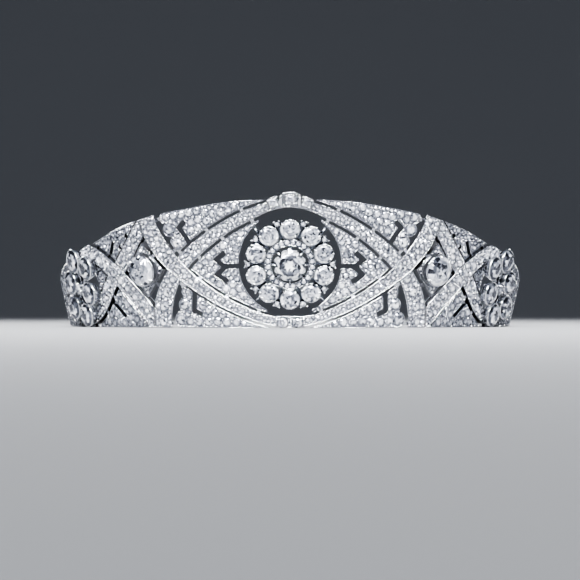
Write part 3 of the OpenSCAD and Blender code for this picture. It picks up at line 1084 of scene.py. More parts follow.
    def pack(self, patch: Patch) -> None:
        """Fill a patch with stones, each as snug as it will go to the last.

        Args:
            patch: the patch.
        """
        inside = self.cells(patch)
        for size in patch.sizes:
            self.scatter(inside, size * MM, self.stones, self.pull)

    def scatter(self, inside: np.ndarray, radius: float, pile: list[Stone], pull: float) -> None:
        """Place stones of one size wherever they fit in some cells.

        Args:
            inside: the cells.
            radius: the stones' radius.
            pile: the list they join.
            pull: how strongly the next stone keeps to the last.
        """
        rows, columns = np.nonzero(inside & (self.clear >= radius))
        room = self.clear[rows, columns]
        last = None
        while len(rows):
            score = room.copy()
            if last is not None:
                score += pull * np.hypot(rows - last[0], columns - last[1]) * self.cell
            best = int(np.argmin(score))
            last = (int(rows[best]), int(columns[best]))
            self.keep(*last, radius, pile)
            away = np.hypot(rows - last[0], columns - last[1]) * self.cell
            room = np.minimum(room, away - radius - self.gap)
            left = room >= radius
            rows, columns, room = rows[left], columns[left], room[left]

    def bead(self) -> None:
        """Raise a bead in each space that is left between the stones."""
        for radius in self.beads:
            self.scatter(self.level >= 0, radius, self.grains, 0.0)


@dataclass(frozen=True)
class Row:
    """A row of stones along a line on the wall.

    Points are degrees and millimetres; radius and pitch are millimetres.
    """

    points: tuple[tuple[float, float], ...]
    radius: float
    pitch: float

    def places(self) -> Iterable[tuple[float, float]]:
        """Even places along the line, as metres along and up.

        Returns:
            The places.
        """
        line = [Vector((WALL.along(a), v * MM)) for a, v in self.points]
        lengths = [(b - a).length for a, b in zip(line, line[1:])]
        total = sum(lengths)
        count = max(int(total / (self.pitch * MM)), 1)
        for i in range(count + 1):
            want = total * i / count
            for a, b, length in zip(line, line[1:], lengths):
                if want <= length + 1e-9:
                    spot = a.lerp(b, want / length)
                    yield spot.x, spot.y
                    break
                want -= length


@dataclass
class Pave:
    """The small stones, their beads, their bright edges and rings of painted shade behind them in place of
    openings.

    Lobes are stones set one by one, as degrees, millimetres up and radius in millimetres. A stone over
    crown_from has a full crown, and one over patchy_from has a dark patch more often. Stones on the plates
    get painted shade from dull_from along the wall, and all get a little more from end_from. The ring behind
    a stone, with its middle of painted shade in place of an opening, is open times the size of its stone,
    and open_most at most.
    """

    tools: Tools
    seed: int = 7
    tilt: float = math.radians(4.0)
    thick: float = 1.4 * MM
    seat_rim: float = 0.09 * MM
    film: float = 0.02 * MM
    stone_lift: float = 0.04 * MM
    bead_lift: float = 0.06 * MM
    crown_from: float = 0.98 * MM
    patchy_from: float = 0.8 * MM
    patchy: float = 0.6
    plain: float = 0.15
    open: float = 0.62
    open_most: float = 0.85 * MM
    probe: float = 4 * MM
    uneven: float = 0.1 * MM
    patches: tuple[Patch, ...] = (
        Patch("front", Level.OVER, (0.58, 0.48, 0.4), 0.0, 11.5),
        Patch("front", Level.OVER, (0.68, 0.52, 0.42), 11.5, 17.5),
        Patch("front", Level.OVER, (0.84, 0.66, 0.52, 0.42)),
        Patch("front", Level.UNDER, (0.54, 0.42), 0.0, 6.5),
        Patch("front", Level.UNDER, (0.64, 0.5, 0.4), 6.5, 11.0),
        Patch("front", Level.UNDER, (0.78, 0.64, 0.5, 0.4), 11.0, 19.0),
        Patch("front", Level.UNDER, (0.86, 0.7, 0.55, 0.42)),
        Patch("front", Level.PLATE, (1.2, 0.98, 0.8, 0.62, 0.5, 0.4), 14.0, 90.0, 21.0),
        Patch("front", Level.PLATE, (1.15, 0.95, 0.75, 0.6, 0.48, 0.4), 0.0, 90.0, -1.0, 13.0),
        Patch("front", Level.PLATE, (0.95, 0.82, 0.7, 0.58, 0.48, 0.4)),
        Patch("lozenge", Level.OVER, (0.95, 0.7, 0.52, 0.42)),
        Patch("lozenge", Level.UNDER, (1.0, 0.75, 0.58, 0.45)),
        Patch("lozenge", Level.PLATE, (0.78, 0.62, 0.5, 0.4)),
        Patch("flower", Level.UNDER, (0.9, 0.7, 0.55, 0.42)),
        Patch("flower", Level.PLATE, (1.25, 0.95, 0.72, 0.55, 0.42), 0.0, 54.5, -1.0, 11.0),
        Patch("flower", Level.PLATE, (0.72, 0.58, 0.46, 0.38)),
    )
    rows: tuple[Row, ...] = (
        Row(((27.0, 14.6), (28.5, 12.0), (29.7, 8.4), (30.4, 4.4), (30.7, 1.9)), 1.5, 3.7),
        Row(((36.0, 7.2), (39.2, 11.4), (42.2, 15.2), (45.2, 18.5), (48.2, 21.0), (50.5, 22.4)), 1.35, 3.2),
        Row(((23.6, 1.9), (12.4, 1.75)), 1.28, 2.95),
    )
    # Painted shade: how much duller stones on the plates are far along the wall, and all stones near the
    # ends.
    dull: float = 0.22
    dull_from: float = 48 * MM
    end_dull: float = 0.08
    end_from: float = 80 * MM
    lobes: tuple[tuple[float, float, float], ...] = (
        (27.3, 33.0, 1.6), (26.7, 29.4, 1.7), (25.2, 25.4, 1.75),
        (23.7, 10.8, 1.6), (24.7, 7.0, 1.7), (25.9, 2.6, 1.9))

    def build(self) -> None:
        """Pack the plates and make a set of pieces for each section."""
        plates = Plates()
        for sign in SIDES.values():
            for angle, up, radius in self.lobes:
                plates.set_stone(sign * WALL.along(angle), up * MM, radius * MM)
            for row in self.rows:
                for along, up in row.places():
                    plates.set_stone(sign * along, up, row.radius * MM)
        for patch in self.patches:
            plates.pack(patch)
        plates.bead()
        LOG.info("%d stones and %d beads", len(plates.stones), len(plates.grains))
        fire = Fire(random.Random(self.seed))
        for index, node in enumerate(plates.nodes):
            name, metal = node.replace("_section", ""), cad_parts[node]
            stones = [stone for stone in plates.stones if stone.owner == index]
            self.set_stones(name, stones, fire)
            self.set_beads(name, [bead for bead in plates.grains if bead.owner == index])
            self.open_backs(name, metal, stones)
            EdgeWire(metal, self.tools.bright).build(f"edges_{name}")
            metal.data.materials[0] = self.tools.ground

    def set_stones(self, name: str, stones: Sequence[Stone], fire: Fire) -> None:
        """Set the stones of one section, each over a disc of painted shade for its seat.

        Args:
            name: the section's name.
            stones: its stones.
            fire: how bright they are.
        """
        bench, seats = Bench(), Bench()
        for stone in stones:
            # Painted shade on plate stones far along the wall and on all stones near the ends.
            sunk = stone.out == Level.PLATE.value and abs(stone.along) > self.dull_from
            ending = abs(stone.along) > self.end_from
            shade = (self.dull if sunk else 0.0) + (self.end_dull if ending else 0.0)
            patchy = self.patchy if stone.radius > self.patchy_from else self.plain
            lean = turned(fire.dice.gauss(0, self.tilt), "X") @ turned(fire.dice.gauss(0, self.tilt), "Y")
            seat = WALL.seat(stone.along, stone.up, stone.out, fire.dice.uniform(0, math.tau))
            template = self.tools.crown if stone.radius > self.crown_from else self.tools.single
            bench.stamp(template, seat @ move(z=self.stone_lift) @ lean @ sized(stone.radius),
                        fire.small(patchy, shade))
            # A disc of painted shade a little wider than the stone, for its seat.
            seats.cone(stone.radius + self.seat_rim, stone.radius + self.seat_rim, self.film, 8, seat)
        bench.piece(f"pave_{name}", [self.tools.glitter], "stone")
        seats.piece(f"seats_{name}", [self.tools.dull], "pave_metal")

    def set_beads(self, name: str, beads: Sequence[Stone]) -> None:
        """Raise the beads of one section.

        Args:
            name: the section's name.
            beads: its beads.
        """
        bench = Bench()
        for bead in beads:
            seat = WALL.seat(bead.along, bead.up, bead.out + self.bead_lift)
            bench.stamp(self.tools.grain, seat @ sized(bead.radius))
        bench.piece(f"beads_{name}", [self.tools.bright], "pave_metal", smooth=True)

    def open_backs(self, name: str, metal: bpy.types.Object, stones: Sequence[Stone]) -> None:
        """Put a ring with a middle of painted shade on the back of the metal behind each stone where the
        metal is whole, in place of an opening.

        Args:
            name: the section's name.
            metal: its CAD node.
            stones: its stones.
        """
        bench = Bench()
        turns = [turn * math.tau / 6 for turn in range(6)]
        for stone in stones:
            size = min(self.open * stone.radius, self.open_most)
            away, inside = 1.1 * size, -self.thick - self.probe
            seat = WALL.seat(stone.along, stone.up, 0.0)
            outward = (seat.to_3x3() @ Vector((0, 0, 1))).normalized()
            depths = []
            for turn in turns:
                start = seat @ Vector((away * math.cos(turn), away * math.sin(turn), inside))
                hit, place, _, _ = metal.ray_cast(start, outward)
                depths.append((place - start).length if hit else math.inf)
            if max(depths) < self.probe + self.uneven and max(depths) - min(depths) < self.uneven:
                back = sum(depths) / len(depths) - self.probe - self.thick + self.film
                # A ring whose middle is painted shade, in place of an opening.
                bench.stamp(self.tools.azure, WALL.seat(stone.along, stone.up, back)
                            @ turned(math.pi, "X") @ sized(size))
        bench.piece(f"azures_{name}", [self.tools.bright, self.tools.hollow], "pave_metal")


@dataclass
class EdgeWire:
    """A thin wire along the edges of the outer faces of a CAD node.

    Heights measures how far out points of the row frame are, and levels are the heights of the faces. The
    wire's points keep a spacing, except where the edge bends more than bend.
    """

    metal: bpy.types.Object
    finish: bpy.types.Material
    heights: Callable[[np.ndarray], np.ndarray] = lambda points: WALL.unroll(points)[2]
    levels: tuple[float, ...] = tuple(level.value for level in Level)
    wire: float = 0.08 * MM
    inset: float = 0.07 * MM
    lift: float = 0.03 * MM
    spacing: float = 0.45 * MM
    bend: float = math.radians(12)
    merge: float = 0.002 * MM
    flatness: float = 0.05 * MM

    def loops(self) -> list[list[Vector]]:
        """The closed edge loops of the node's outer faces.

        Returns:
            The loops' points, a little inside the edge.
        """
        bm = bmesh.new()
        bm.from_mesh(self.metal.data)
        bmesh.ops.remove_doubles(bm, verts=bm.verts[:], dist=self.merge)
        bm.normal_update()
        out = self.heights(np.array([v.co for v in bm.verts]))
        bm.verts.index_update()
        found: list[list[Vector]] = []
        for level in self.levels:
            flat = dict.fromkeys(
                f for f in bm.faces if all(abs(out[v.index] - level) < self.flatness for v in f.verts))
            ways: dict[bmesh.types.BMVert, list[bmesh.types.BMVert]] = {}
            inward: dict[bmesh.types.BMVert, Vector] = {}
            for face in flat:
                for loop in face.loops:
                    if sum(f in flat for f in loop.edge.link_faces) == 1:
                        a, b = loop.vert, loop.link_loop_next.vert
                        ways.setdefault(a, []).append(b)
                        ways.setdefault(b, []).append(a)
                        side = face.normal.cross(b.co - a.co).normalized()
                        for vert in (a, b):
                            inward[vert] = inward.get(vert, Vector()) + side
            while ways:
                start = next(iter(ways))
                line, here = [start], start
                while ways.get(here):
                    there = ways[here].pop()
                    ways[there].remove(here)
                    here = there
                    line.append(here)
                for vert in line:
                    if vert in ways and not ways[vert]:
                        del ways[vert]
                if len(line) > 4:
                    places = [v.co + inward[v].normalized() * self.inset for v in line[:-1]]
                    found.append([Vector((x, y, max(z, 1.5 * self.wire))) for x, y, z in places])
        bm.free()
        return found

    def thin(self, loop: Sequence[Vector]) -> list[Vector]:
        """Drop points that are close together on a nearly straight run.

        Args:
            loop: the points of a loop.

        Returns:
            Those that stay.
        """
        kept = [loop[0]]
        for i in range(1, len(loop) - 1):
            before, after = loop[i] - kept[-1], loop[i + 1] - loop[i]
            if before.length < 1e-7 or after.length < 1e-7:
                continue
            if before.angle(after) > self.bend or before.length > self.spacing:
                kept.append(loop[i])
        kept.append(loop[-1])
        return kept

    def build(self, name: str) -> None:
        """Sweep the wire and make it a piece.

        Args:
            name: the piece's name.
        """
        curve = bpy.data.curves.new(name, "CURVE")
        curve.dimensions = "3D"
        curve.bevel_depth = self.wire
        curve.bevel_resolution = 0
        curve.use_fill_caps = True
        for loop in self.loops():
            points = self.thin(loop)
            if len(points) < 4:
                continue
            spline = curve.splines.new("POLY")
            spline.points.add(len(points) - 1)
            for point, place in zip(spline.points, points):
                away = Vector((place.x, place.y, 0)).normalized()
                point.co = (*(place + away * self.lift), 1.0)
            spline.use_cyclic_u = True
        holder = linked(name + "_line", curve)
        bpy.context.view_layer.update()
        swept = holder.evaluated_get(bpy.context.evaluated_depsgraph_get())
        mesh = bpy.data.meshes.new_from_object(swept)
        bpy.data.objects.remove(holder)
        bench = Bench()
        bench.bm.from_mesh(mesh)
        bench.piece(name, [self.finish], "pave_metal", smooth=True)


# Stone settings


@dataclass
class Brilliants:
    """The large stones, each of which stands for a CAD stone, and the claws round them."""

    tools: Tools
    fire: Fire
    claw_gap: float = 0.13 * MM
    claw_lean: float = -0.22

    def cut(self, node: str, seat: Matrix, radius: float, spin: float = 0.0,
            play: Play = Play.MOTTLED) -> None:
        """Cut a large stone in place of a CAD node.

        Args:
            node: the CAD stone.
            seat: the stone's frame, at its girdle.
            radius: its radius.
            spin: its turn about its own axis.
            play: how light plays in it.
        """
        bench = Bench()
        bench.stamp(self.tools.full, seat @ turned(spin) @ sized(radius),
                    self.fire.large(play, -math.pi / 2 - spin))
        bench.piece(f"brilliant_{node}", [self.tools.glitter], "stone", replaces=[node])

    def claws(self, bench: Bench, seat: Matrix, radius: float, turns: Iterable[float],
              size: float = 1.15 * MM, drop: float = 0.75 * MM) -> None:
        """Stand claws round a stone.

        Args:
            bench: the mesh they join.
            seat: the stone's frame, at its girdle.
            radius: the stone's radius.
            turns: where they stand, in radians.
            size: their height.
            drop: how far below the girdle they start.
        """
        for turn in turns:
            foot = around(seat, turn, radius + self.claw_gap, -drop)
            bench.stamp(self.tools.claw, foot @ turned(self.claw_lean, "Y") @ sized(size))


@dataclass
class Cluster:
    """The round cluster in the middle of the front.

    Shading holds the heights of the metal's back, of the end of its painted shade and of the start of its
    bright part. The ring has the large stones, the outer collets stand between them, and the halo is the
    ring of small stones inside it. Heights are over the plates' outer faces, drops under a girdle.
    """

    tools: Tools
    gems: Brilliants
    up: float = 19.2 * MM
    shading: tuple[float, float, float] = (-0.6 * MM, 2.0 * MM, 3.3 * MM)
    ring: int = 10
    ring_radius: float = 10.3 * MM
    stone: float = 2.65 * MM
    girdle: float = 2.4 * MM
    spin: float = 0.8
    ring_claws: tuple[float, ...] = (-2.45, -1.0, -0.33, 0.33, 1.0, 2.45)
    wire: float = 0.12 * MM
    wire_drop: float = 0.22 * MM
    outer_radius: float = 12.2 * MM
    outer_stone: float = 0.72 * MM
    outer_half: float = 0.88 * MM
    outer_girdle: float = 1.85 * MM
    outer_tall: float = 0.65 * MM
    outer_drop: float = 0.72 * MM
    outer_claw: Cone = (0.26 * MM, 0.08 * MM, 0.62 * MM, 6)
    outer_claw_inset: float = 0.2 * MM
    outer_claw_drop: float = 0.25 * MM
    outer_claw_lean: float = math.radians(40)
    halo: int = 24
    halo_radius: float = 6.42 * MM
    halo_half: float = 0.86 * MM
    halo_stone: float = 0.74 * MM
    halo_top: float = 1.9 * MM
    halo_lift: float = 0.02 * MM
    halo_wire: float = 0.08 * MM
    bead: float = 0.15 * MM
    bead_away: float = 0.62 * MM
    pegs: tuple[float, ...] = (45, 135, 228, 312)
    peg: Cone = (0.26 * MM, 0.2 * MM, 1.9 * MM, 8)
    peg_radius: float = 12.65 * MM
    peg_height: float = 0.28 * MM
    centre_stone: float = 4.0 * MM
    centre_girdle: float = 3.4 * MM
    petal: float = 1.1 * MM
    petal_radius: float = 3.62 * MM
    petal_drop: float = 1.2 * MM
    crown_claw: Cone = (0.34 * MM, 0.1 * MM, 1.5 * MM, 8)
    crown_claw_radius: float = 5.15 * MM
    crown_claw_drop: float = 0.9 * MM
    crown_claw_lean: float = -math.radians(42)
    # A triangle of painted shade on the centre stone's crown by each claw.
    notch: Cone = (1.0 * MM, 1.0 * MM, 0.06 * MM, 3)
    notch_radius: float = 4.1 * MM
    notch_lift: float = 0.14 * MM
    notch_lean: float = math.radians(34)

    def build(self) -> None:
        """Set every stone of the cluster."""
        metal = SettingMetal("cluster_metal", 0.0, *self.shading).make()
        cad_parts["centre_cluster"].data.materials[0] = metal
        base = WALL.seat(0, self.up)
        claws, small = Bench(), Bench()
        fire = Fire(random.Random(11))
        for i in range(self.ring):
            turn = math.pi / 2 + i * math.tau / self.ring
            across, upward = self.ring_radius * math.cos(turn), self.ring_radius * math.sin(turn)
            seat = base @ move(across, upward, self.girdle)
            self.gems.cut(f"cluster_stone_{i + 1}", seat, self.stone, fire.dice.uniform(0, self.spin))
            self.gems.claws(claws, seat, self.stone, [turn + a for a in self.ring_claws])
            claws.hoop(self.stone + self.wire, self.wire, seat @ move(z=-self.wire_drop), 40)
            outer = around(base, turn + math.pi / self.ring, self.outer_radius, self.outer_girdle)
            small.stamp(self.tools.crown, outer @ sized(self.outer_stone), fire.small(0.6))
            self.outer_collet(claws, outer @ turned(math.pi / 4))
        self.set_halo(claws, small, base, fire)
        for turn in self.pegs:
            foot = around(base, math.radians(turn), self.peg_radius, self.peg_height)
            claws.cone(*self.peg, foot @ turned(math.pi / 2, "Y"))
        self.crown(claws, base @ move(z=self.centre_girdle))
        small.piece("cluster_small_stones", [self.tools.glitter], "stone")
        claws.piece("cluster_claws", [self.tools.bright], "pave_metal", smooth=True)
        self.gems.cut("centre_stone", base @ move(z=self.centre_girdle), self.centre_stone, math.pi / 8,
                      Play.STAR)

    def outer_collet(self, claws: Bench, square: Matrix) -> None:
        """Make one of the square collets between the large stones.

        Args:
            claws: the mesh it joins.
            square: the frame of its stone's girdle, with its corners along X and Y.
        """
        corner = self.outer_half * math.sqrt(2)
        claws.cone(0.7 * corner, corner, self.outer_tall, 4, square @ move(z=-self.outer_drop))
        for k in range(4):
            foot = around(square, k * math.pi / 2, corner - self.outer_claw_inset, -self.outer_claw_drop)
            claws.cone(*self.outer_claw, foot @ turned(self.outer_claw_lean, "Y"))

    def set_halo(self, claws: Bench, small: Bench, base: Matrix, fire: Fire) -> None:
        """Set the inner ring of small stones, with its beads and wires.

        Args:
            claws: the mesh that the metal joins.
            small: the mesh that the stones join.
            base: the frame of the cluster's middle.
            fire: how bright the stones are.
        """
        step = math.tau / self.halo
        for i in range(self.halo):
            seat = around(base, (i + 0.5) * step, self.halo_radius, self.halo_top + self.halo_lift)
            small.stamp(self.tools.crown, seat @ sized(self.halo_stone), fire.small(0.2))
            for side in (-1, 1):
                spot = around(base, (i + 1) * step, self.halo_radius + side * self.bead_away, self.halo_top)
                claws.stamp(self.tools.grain, spot @ sized(self.bead))
        top = base @ move(z=self.halo_top)
        for side in (-1, 1):
            claws.hoop(self.halo_radius + side * self.halo_half, self.halo_wire, top, 64)

    def crown(self, claws: Bench, girdle: Matrix) -> None:
        """Stand the scalloped bezel and the eight pointed claws round the centre stone, with a triangle of
        painted shade on its crown by each claw.

        Args:
            claws: the mesh that the claws join.
            girdle: the centre stone's frame.
        """
        bench, notches = Bench(), Bench()
        for i in range(8):
            turn = i * math.tau / 8
            petal = around(girdle, (i + 0.5) * math.tau / 8, self.petal_radius, -self.petal_drop)
            bench.cone(0.75 * self.petal, self.petal, 1.1 * MM, 20, petal)
            claw = around(girdle, turn, self.crown_claw_radius, -self.crown_claw_drop)
            claws.cone(*self.crown_claw, claw @ turned(self.crown_claw_lean, "Y") @ stretched(0.7))
            # A dark triangle of painted shade lying on the crown.
            notch = around(girdle, turn, self.notch_radius, self.notch_lift)
            notches.cone(*self.notch, notch @ turned(self.notch_lean, "Y") @ stretched(1.15, 0.95)
                         @ turned(math.pi))
        bench.piece("cluster_crown", [self.tools.bright], "pave_metal")
        notches.piece("cluster_notches", [self.tools.hollow], "pave_metal")


@dataclass
class Crest:
    """The three stones at the top of the front.

    Shading is as in Cluster. Side, drop and turn place the outer cups from the middle one; beads, plates and
    slot shades are places about the middle cup, the last two for one side. The slot shades are dark marks of
    painted shade where slots would be.
    """

    tools: Tools
    gems: Brilliants
    up: float = 38.1 * MM
    top: float = 2.6 * MM
    step: float = 0.2 * MM
    shading: tuple[float, float, float] = (1.0 * MM, 1.9 * MM, 5.2 * MM)
    girdle: float = 2.9 * MM
    stone: float = 1.3 * MM
    side_stone: float = 1.2 * MM
    side: float = 4.9 * MM
    drop: float = 0.85 * MM
    turn: float = math.radians(19)
    claw: float = 0.36 * MM
    claw_gap: float = 0.22 * MM
    claw_drop: float = 0.05 * MM
    bead: float = 0.2 * MM
    beads: tuple[tuple[float, float], ...] = (
        (-1.8, 1.7), (-0.9, 1.85), (0.0, 1.9), (0.9, 1.85), (1.8, 1.7),
        (-1.2, -1.5), (-0.4, -1.5), (0.4, -1.5), (1.2, -1.5))
    plate: Cone = (1.5 * MM, 1.35 * MM, 0.12 * MM, 3)
    plate_at: tuple[float, float] = (2.62 * MM, -0.75 * MM)
    # Dark marks of painted shade where the slots would be.
    slot: Cone = (0.75 * MM, 0.75 * MM, 0.04 * MM, 4)
    slot_at: tuple[float, float] = (2.08 * MM, -0.6 * MM)
    slot_drop: float = 0.06 * MM

    def place(self, side: int) -> Matrix:
        """The frame of one cup: -1 left, 0 middle, 1 right."""
        return (WALL.seat(0, self.up) @ move(side * self.side, -abs(side) * self.drop)
                @ turned(-side * self.turn))

    def build(self) -> None:
        """Set the three stones."""
        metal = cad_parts["crest_setting"]
        metal.data.materials[0] = SettingMetal("crest_metal", 0.0, *self.shading).make()
        claws, plates, slots = Bench(), Bench(), Bench()
        for name, side, radius in (("left", -1, self.side_stone), ("middle", 0, self.stone),
                                   ("right", 1, self.side_stone)):
            seat = self.place(side) @ move(z=self.girdle)
            self.gems.cut(f"crest_stone_{name}", seat, radius)
            for turn in CORNERS:
                spot = around(seat, turn, radius + self.claw_gap, -self.claw_drop)
                claws.stamp(self.tools.grain, spot @ sized(self.claw))
        middle = self.place(0)
        for x, y in self.beads:
            claws.stamp(self.tools.grain, middle @ move(x * MM, y * MM, self.top) @ sized(self.bead))
        claws.piece("crest_claws", [self.tools.bright], "pave_metal", smooth=True)
        for side in SIDES.values():
            x, y = self.plate_at
            plates.cone(*self.plate, middle @ move(side * x, y, self.top - self.step)
                        @ stretched(0.55, 1.45) @ turned(math.pi / 2))
            # Dark marks of painted shade where the slots would be.
            x, y = self.slot_at
            slots.cone(*self.slot, middle @ move(side * x, y, self.top - self.slot_drop)
                       @ stretched(0.26, 1.9) @ turned(math.pi / 4))
        plates.piece("crest_plates", [self.tools.bright], "pave_metal")
        slots.piece("crest_slots", [self.tools.hollow], "pave_metal")
        levels = (self.top, self.top - self.step)
        EdgeWire(metal, self.tools.bright, above(middle), levels).build("crest_edges")


@dataclass
class FootPair:
    """The two stones at the bottom of the front, in a block on the lower lid.

    Rings are small wire rings round them, each over a disc of painted shade, as millimetres along and up and
    their radius in millimetres.
    """

    tools: Tools
    up: float = 1.95 * MM
    out: float = 0.7 * MM
    spread: float = 2.25 * MM
    stone: float = 1.42 * MM
    girdle: float = 1.05 * MM
    cup: float = 0.95 * MM
    cup_foot: float = 0.8
    rim: float = 0.02 * MM
    claw: float = 1.0 * MM
    shadow: float = 0.26 * MM
    shadow_tall: float = 0.5 * MM
    spike: Cone = (0.35 * MM, 0.12 * MM, 3.2 * MM, 4)
    spike_at: tuple[float, float, float] = (4.1 * MM, 0.35 * MM, 0.8 * MM)
    wire: float = 0.09 * MM
    wire_lift: float = 0.05 * MM
    hole_tall: float = 0.04 * MM
    rings: tuple[tuple[float, float, float], ...] = (
        (0.0, 1.85, 0.5), (0.0, 0.8, 0.4), (-1.15, 2.35, 0.3), (1.15, 2.35, 0.3), (-3.3, 2.35, 0.3),
        (3.3, 2.35, 0.3), (-2.3, 3.45, 0.24), (2.3, 3.45, 0.24), (0.0, 2.95, 0.36))

    def build(self) -> None:
        """Set the two stones and put the small rings round them."""
        stones, metal, holes = Bench(), Bench(), Bench()
        fire = Fire(random.Random(3))
        for side in SIDES.values():
            seat = WALL.seat(side * self.spread, self.up, self.out)
            stones.stamp(self.tools.full, seat @ move(z=self.girdle) @ sized(self.stone), fire.large())
            # A dark disc of painted shadow round each stone.
            holes.cone(self.stone + self.shadow, self.stone + self.shadow, self.shadow_tall, 24, seat)
            metal.cone(self.stone * self.cup_foot, self.stone + self.rim, self.cup, 24, seat)
            for turn in CORNERS:
                metal.stamp(self.tools.claw, around(seat, turn, self.stone + self.rim) @ sized(self.claw))
            x, y, out = self.spike_at
            metal.cone(*self.spike, WALL.seat(side * x, y, out) @ turned(-math.pi / 2, "X"))
        for x, y, size in self.rings:
            seat = WALL.seat(x * MM, y * MM, self.out)
            # A disc of painted shade inside each ring.
            holes.cone(size * MM, size * MM, self.hole_tall, 8, seat)
            metal.hoop(size * MM, self.wire, seat @ move(z=self.wire_lift), 12)
        stones.piece("foot_pair_stones", [self.tools.glitter], "stone")
        metal.piece("foot_pair_setting", [self.tools.bright], "pave_metal", smooth=True)
        holes.piece("foot_pair_holes", [self.tools.hollow], "pave_metal")


@dataclass
class Lozenge:
    """The lozenge of one side with its large stone.

    Small is the radii of the stones in its corners, which leave the rim and the collet free.
    """

    tools: Tools
    gems: Brilliants
    side: str
    angle: float = 34.3
    up: float = 17.6 * MM
    lift: float = 0.2 * MM
    half_wide: float = 6.9 * MM
    half_high: float = 8.2 * MM
    stone: float = 4.4 * MM
    spin: float = 0.2
    tall: float = 2.1 * MM
    collet: float = 4.8 * MM
    rim: float = 0.28 * MM
    wire: float = 0.16 * MM
    wire_gap: float = 0.12 * MM
    wire_drop: float = 0.3 * MM
    claws: tuple[float, ...] = (40, 90, 140, 220, 270, 320)
    claw: float = 1.3 * MM
    claw_drop: float = 0.8 * MM
    small: tuple[float, ...] = (0.62 * MM, 0.5 * MM, 0.4 * MM, 0.3 * MM)
    small_gap: float = 0.04 * MM
    small_spin: float = 0.8
    small_lift: float = 0.04 * MM
    seat_rim: float = 0.08 * MM
    film: float = 0.02 * MM
    step: float = 0.12 * MM

    def corner_stones(self) -> list[tuple[float, float, float]]:
        """Small stones that fill the plate's corners, as places about its middle and radii.

        Returns:
            The stones, largest first.
        """
        placed: list[tuple[float, float, float]] = []
        slant = math.hypot(self.half_wide, self.half_high)
        across = [i * self.step for i in range(int(self.half_wide / self.step))]
        upward = [i * self.step for i in range(int(self.half_high / self.step), -1, -1)]
        for radius in self.small:
            for x, y in product(across, upward):
                edge = (self.half_wide * self.half_high - x * self.half_high - y * self.half_wide) / slant
                if edge - self.rim < radius or math.hypot(x, y) - self.collet < radius:
                    continue
                for place in dict.fromkeys(((x, y), (-x, y), (x, -y), (-x, -y))):
                    if all(math.hypot(place[0] - a, place[1] - b) > radius + r + self.small_gap
                           for a, b, r in placed):
                        placed.append((*place, radius))
        return placed

    def build(self) -> None:
        """Set the stones and trim the plate."""
        sign = SIDES[self.side]
        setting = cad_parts[f"lozenge_setting_{self.side}"]
        # The plate in dark metal: painted shade.
        setting.data.materials[0] = self.tools.satin
        base = WALL.seat(sign * WALL.along(self.angle), self.up, self.lift)
        seat = base @ move(z=self.tall)
        self.gems.cut(f"lozenge_stone_{self.side}", seat, self.stone, self.spin)
        metal, pave, seats = Bench(), Bench(), Bench()
        metal.hoop(self.stone + self.wire_gap, self.wire, base @ move(z=self.tall - self.wire_drop), 48)
        self.gems.claws(metal, seat, self.stone, map(math.radians, self.claws), self.claw, self.claw_drop)
        metal.piece(f"lozenge_claws_{self.side}", [self.tools.bright], "pave_metal", smooth=True)
        fire = Fire(random.Random(8))
        for x, y, radius in self.corner_stones():
            spot = base @ move(x, y) @ turned(fire.dice.uniform(0, self.small_spin))
            pave.stamp(self.tools.single, spot @ move(z=self.small_lift) @ sized(radius), fire.small())
            # A disc of painted shade a little wider than the stone, for its seat.
            seats.cone(radius + self.seat_rim, radius + self.seat_rim, self.film, 8, spot)
        pave.piece(f"lozenge_pave_{self.side}", [self.tools.glitter], "stone")
        seats.piece(f"lozenge_seats_{self.side}", [self.tools.hollow], "pave_metal")
        EdgeWire(setting, self.tools.bright, above(base), (0.0,)).build(f"lozenge_edges_{self.side}")


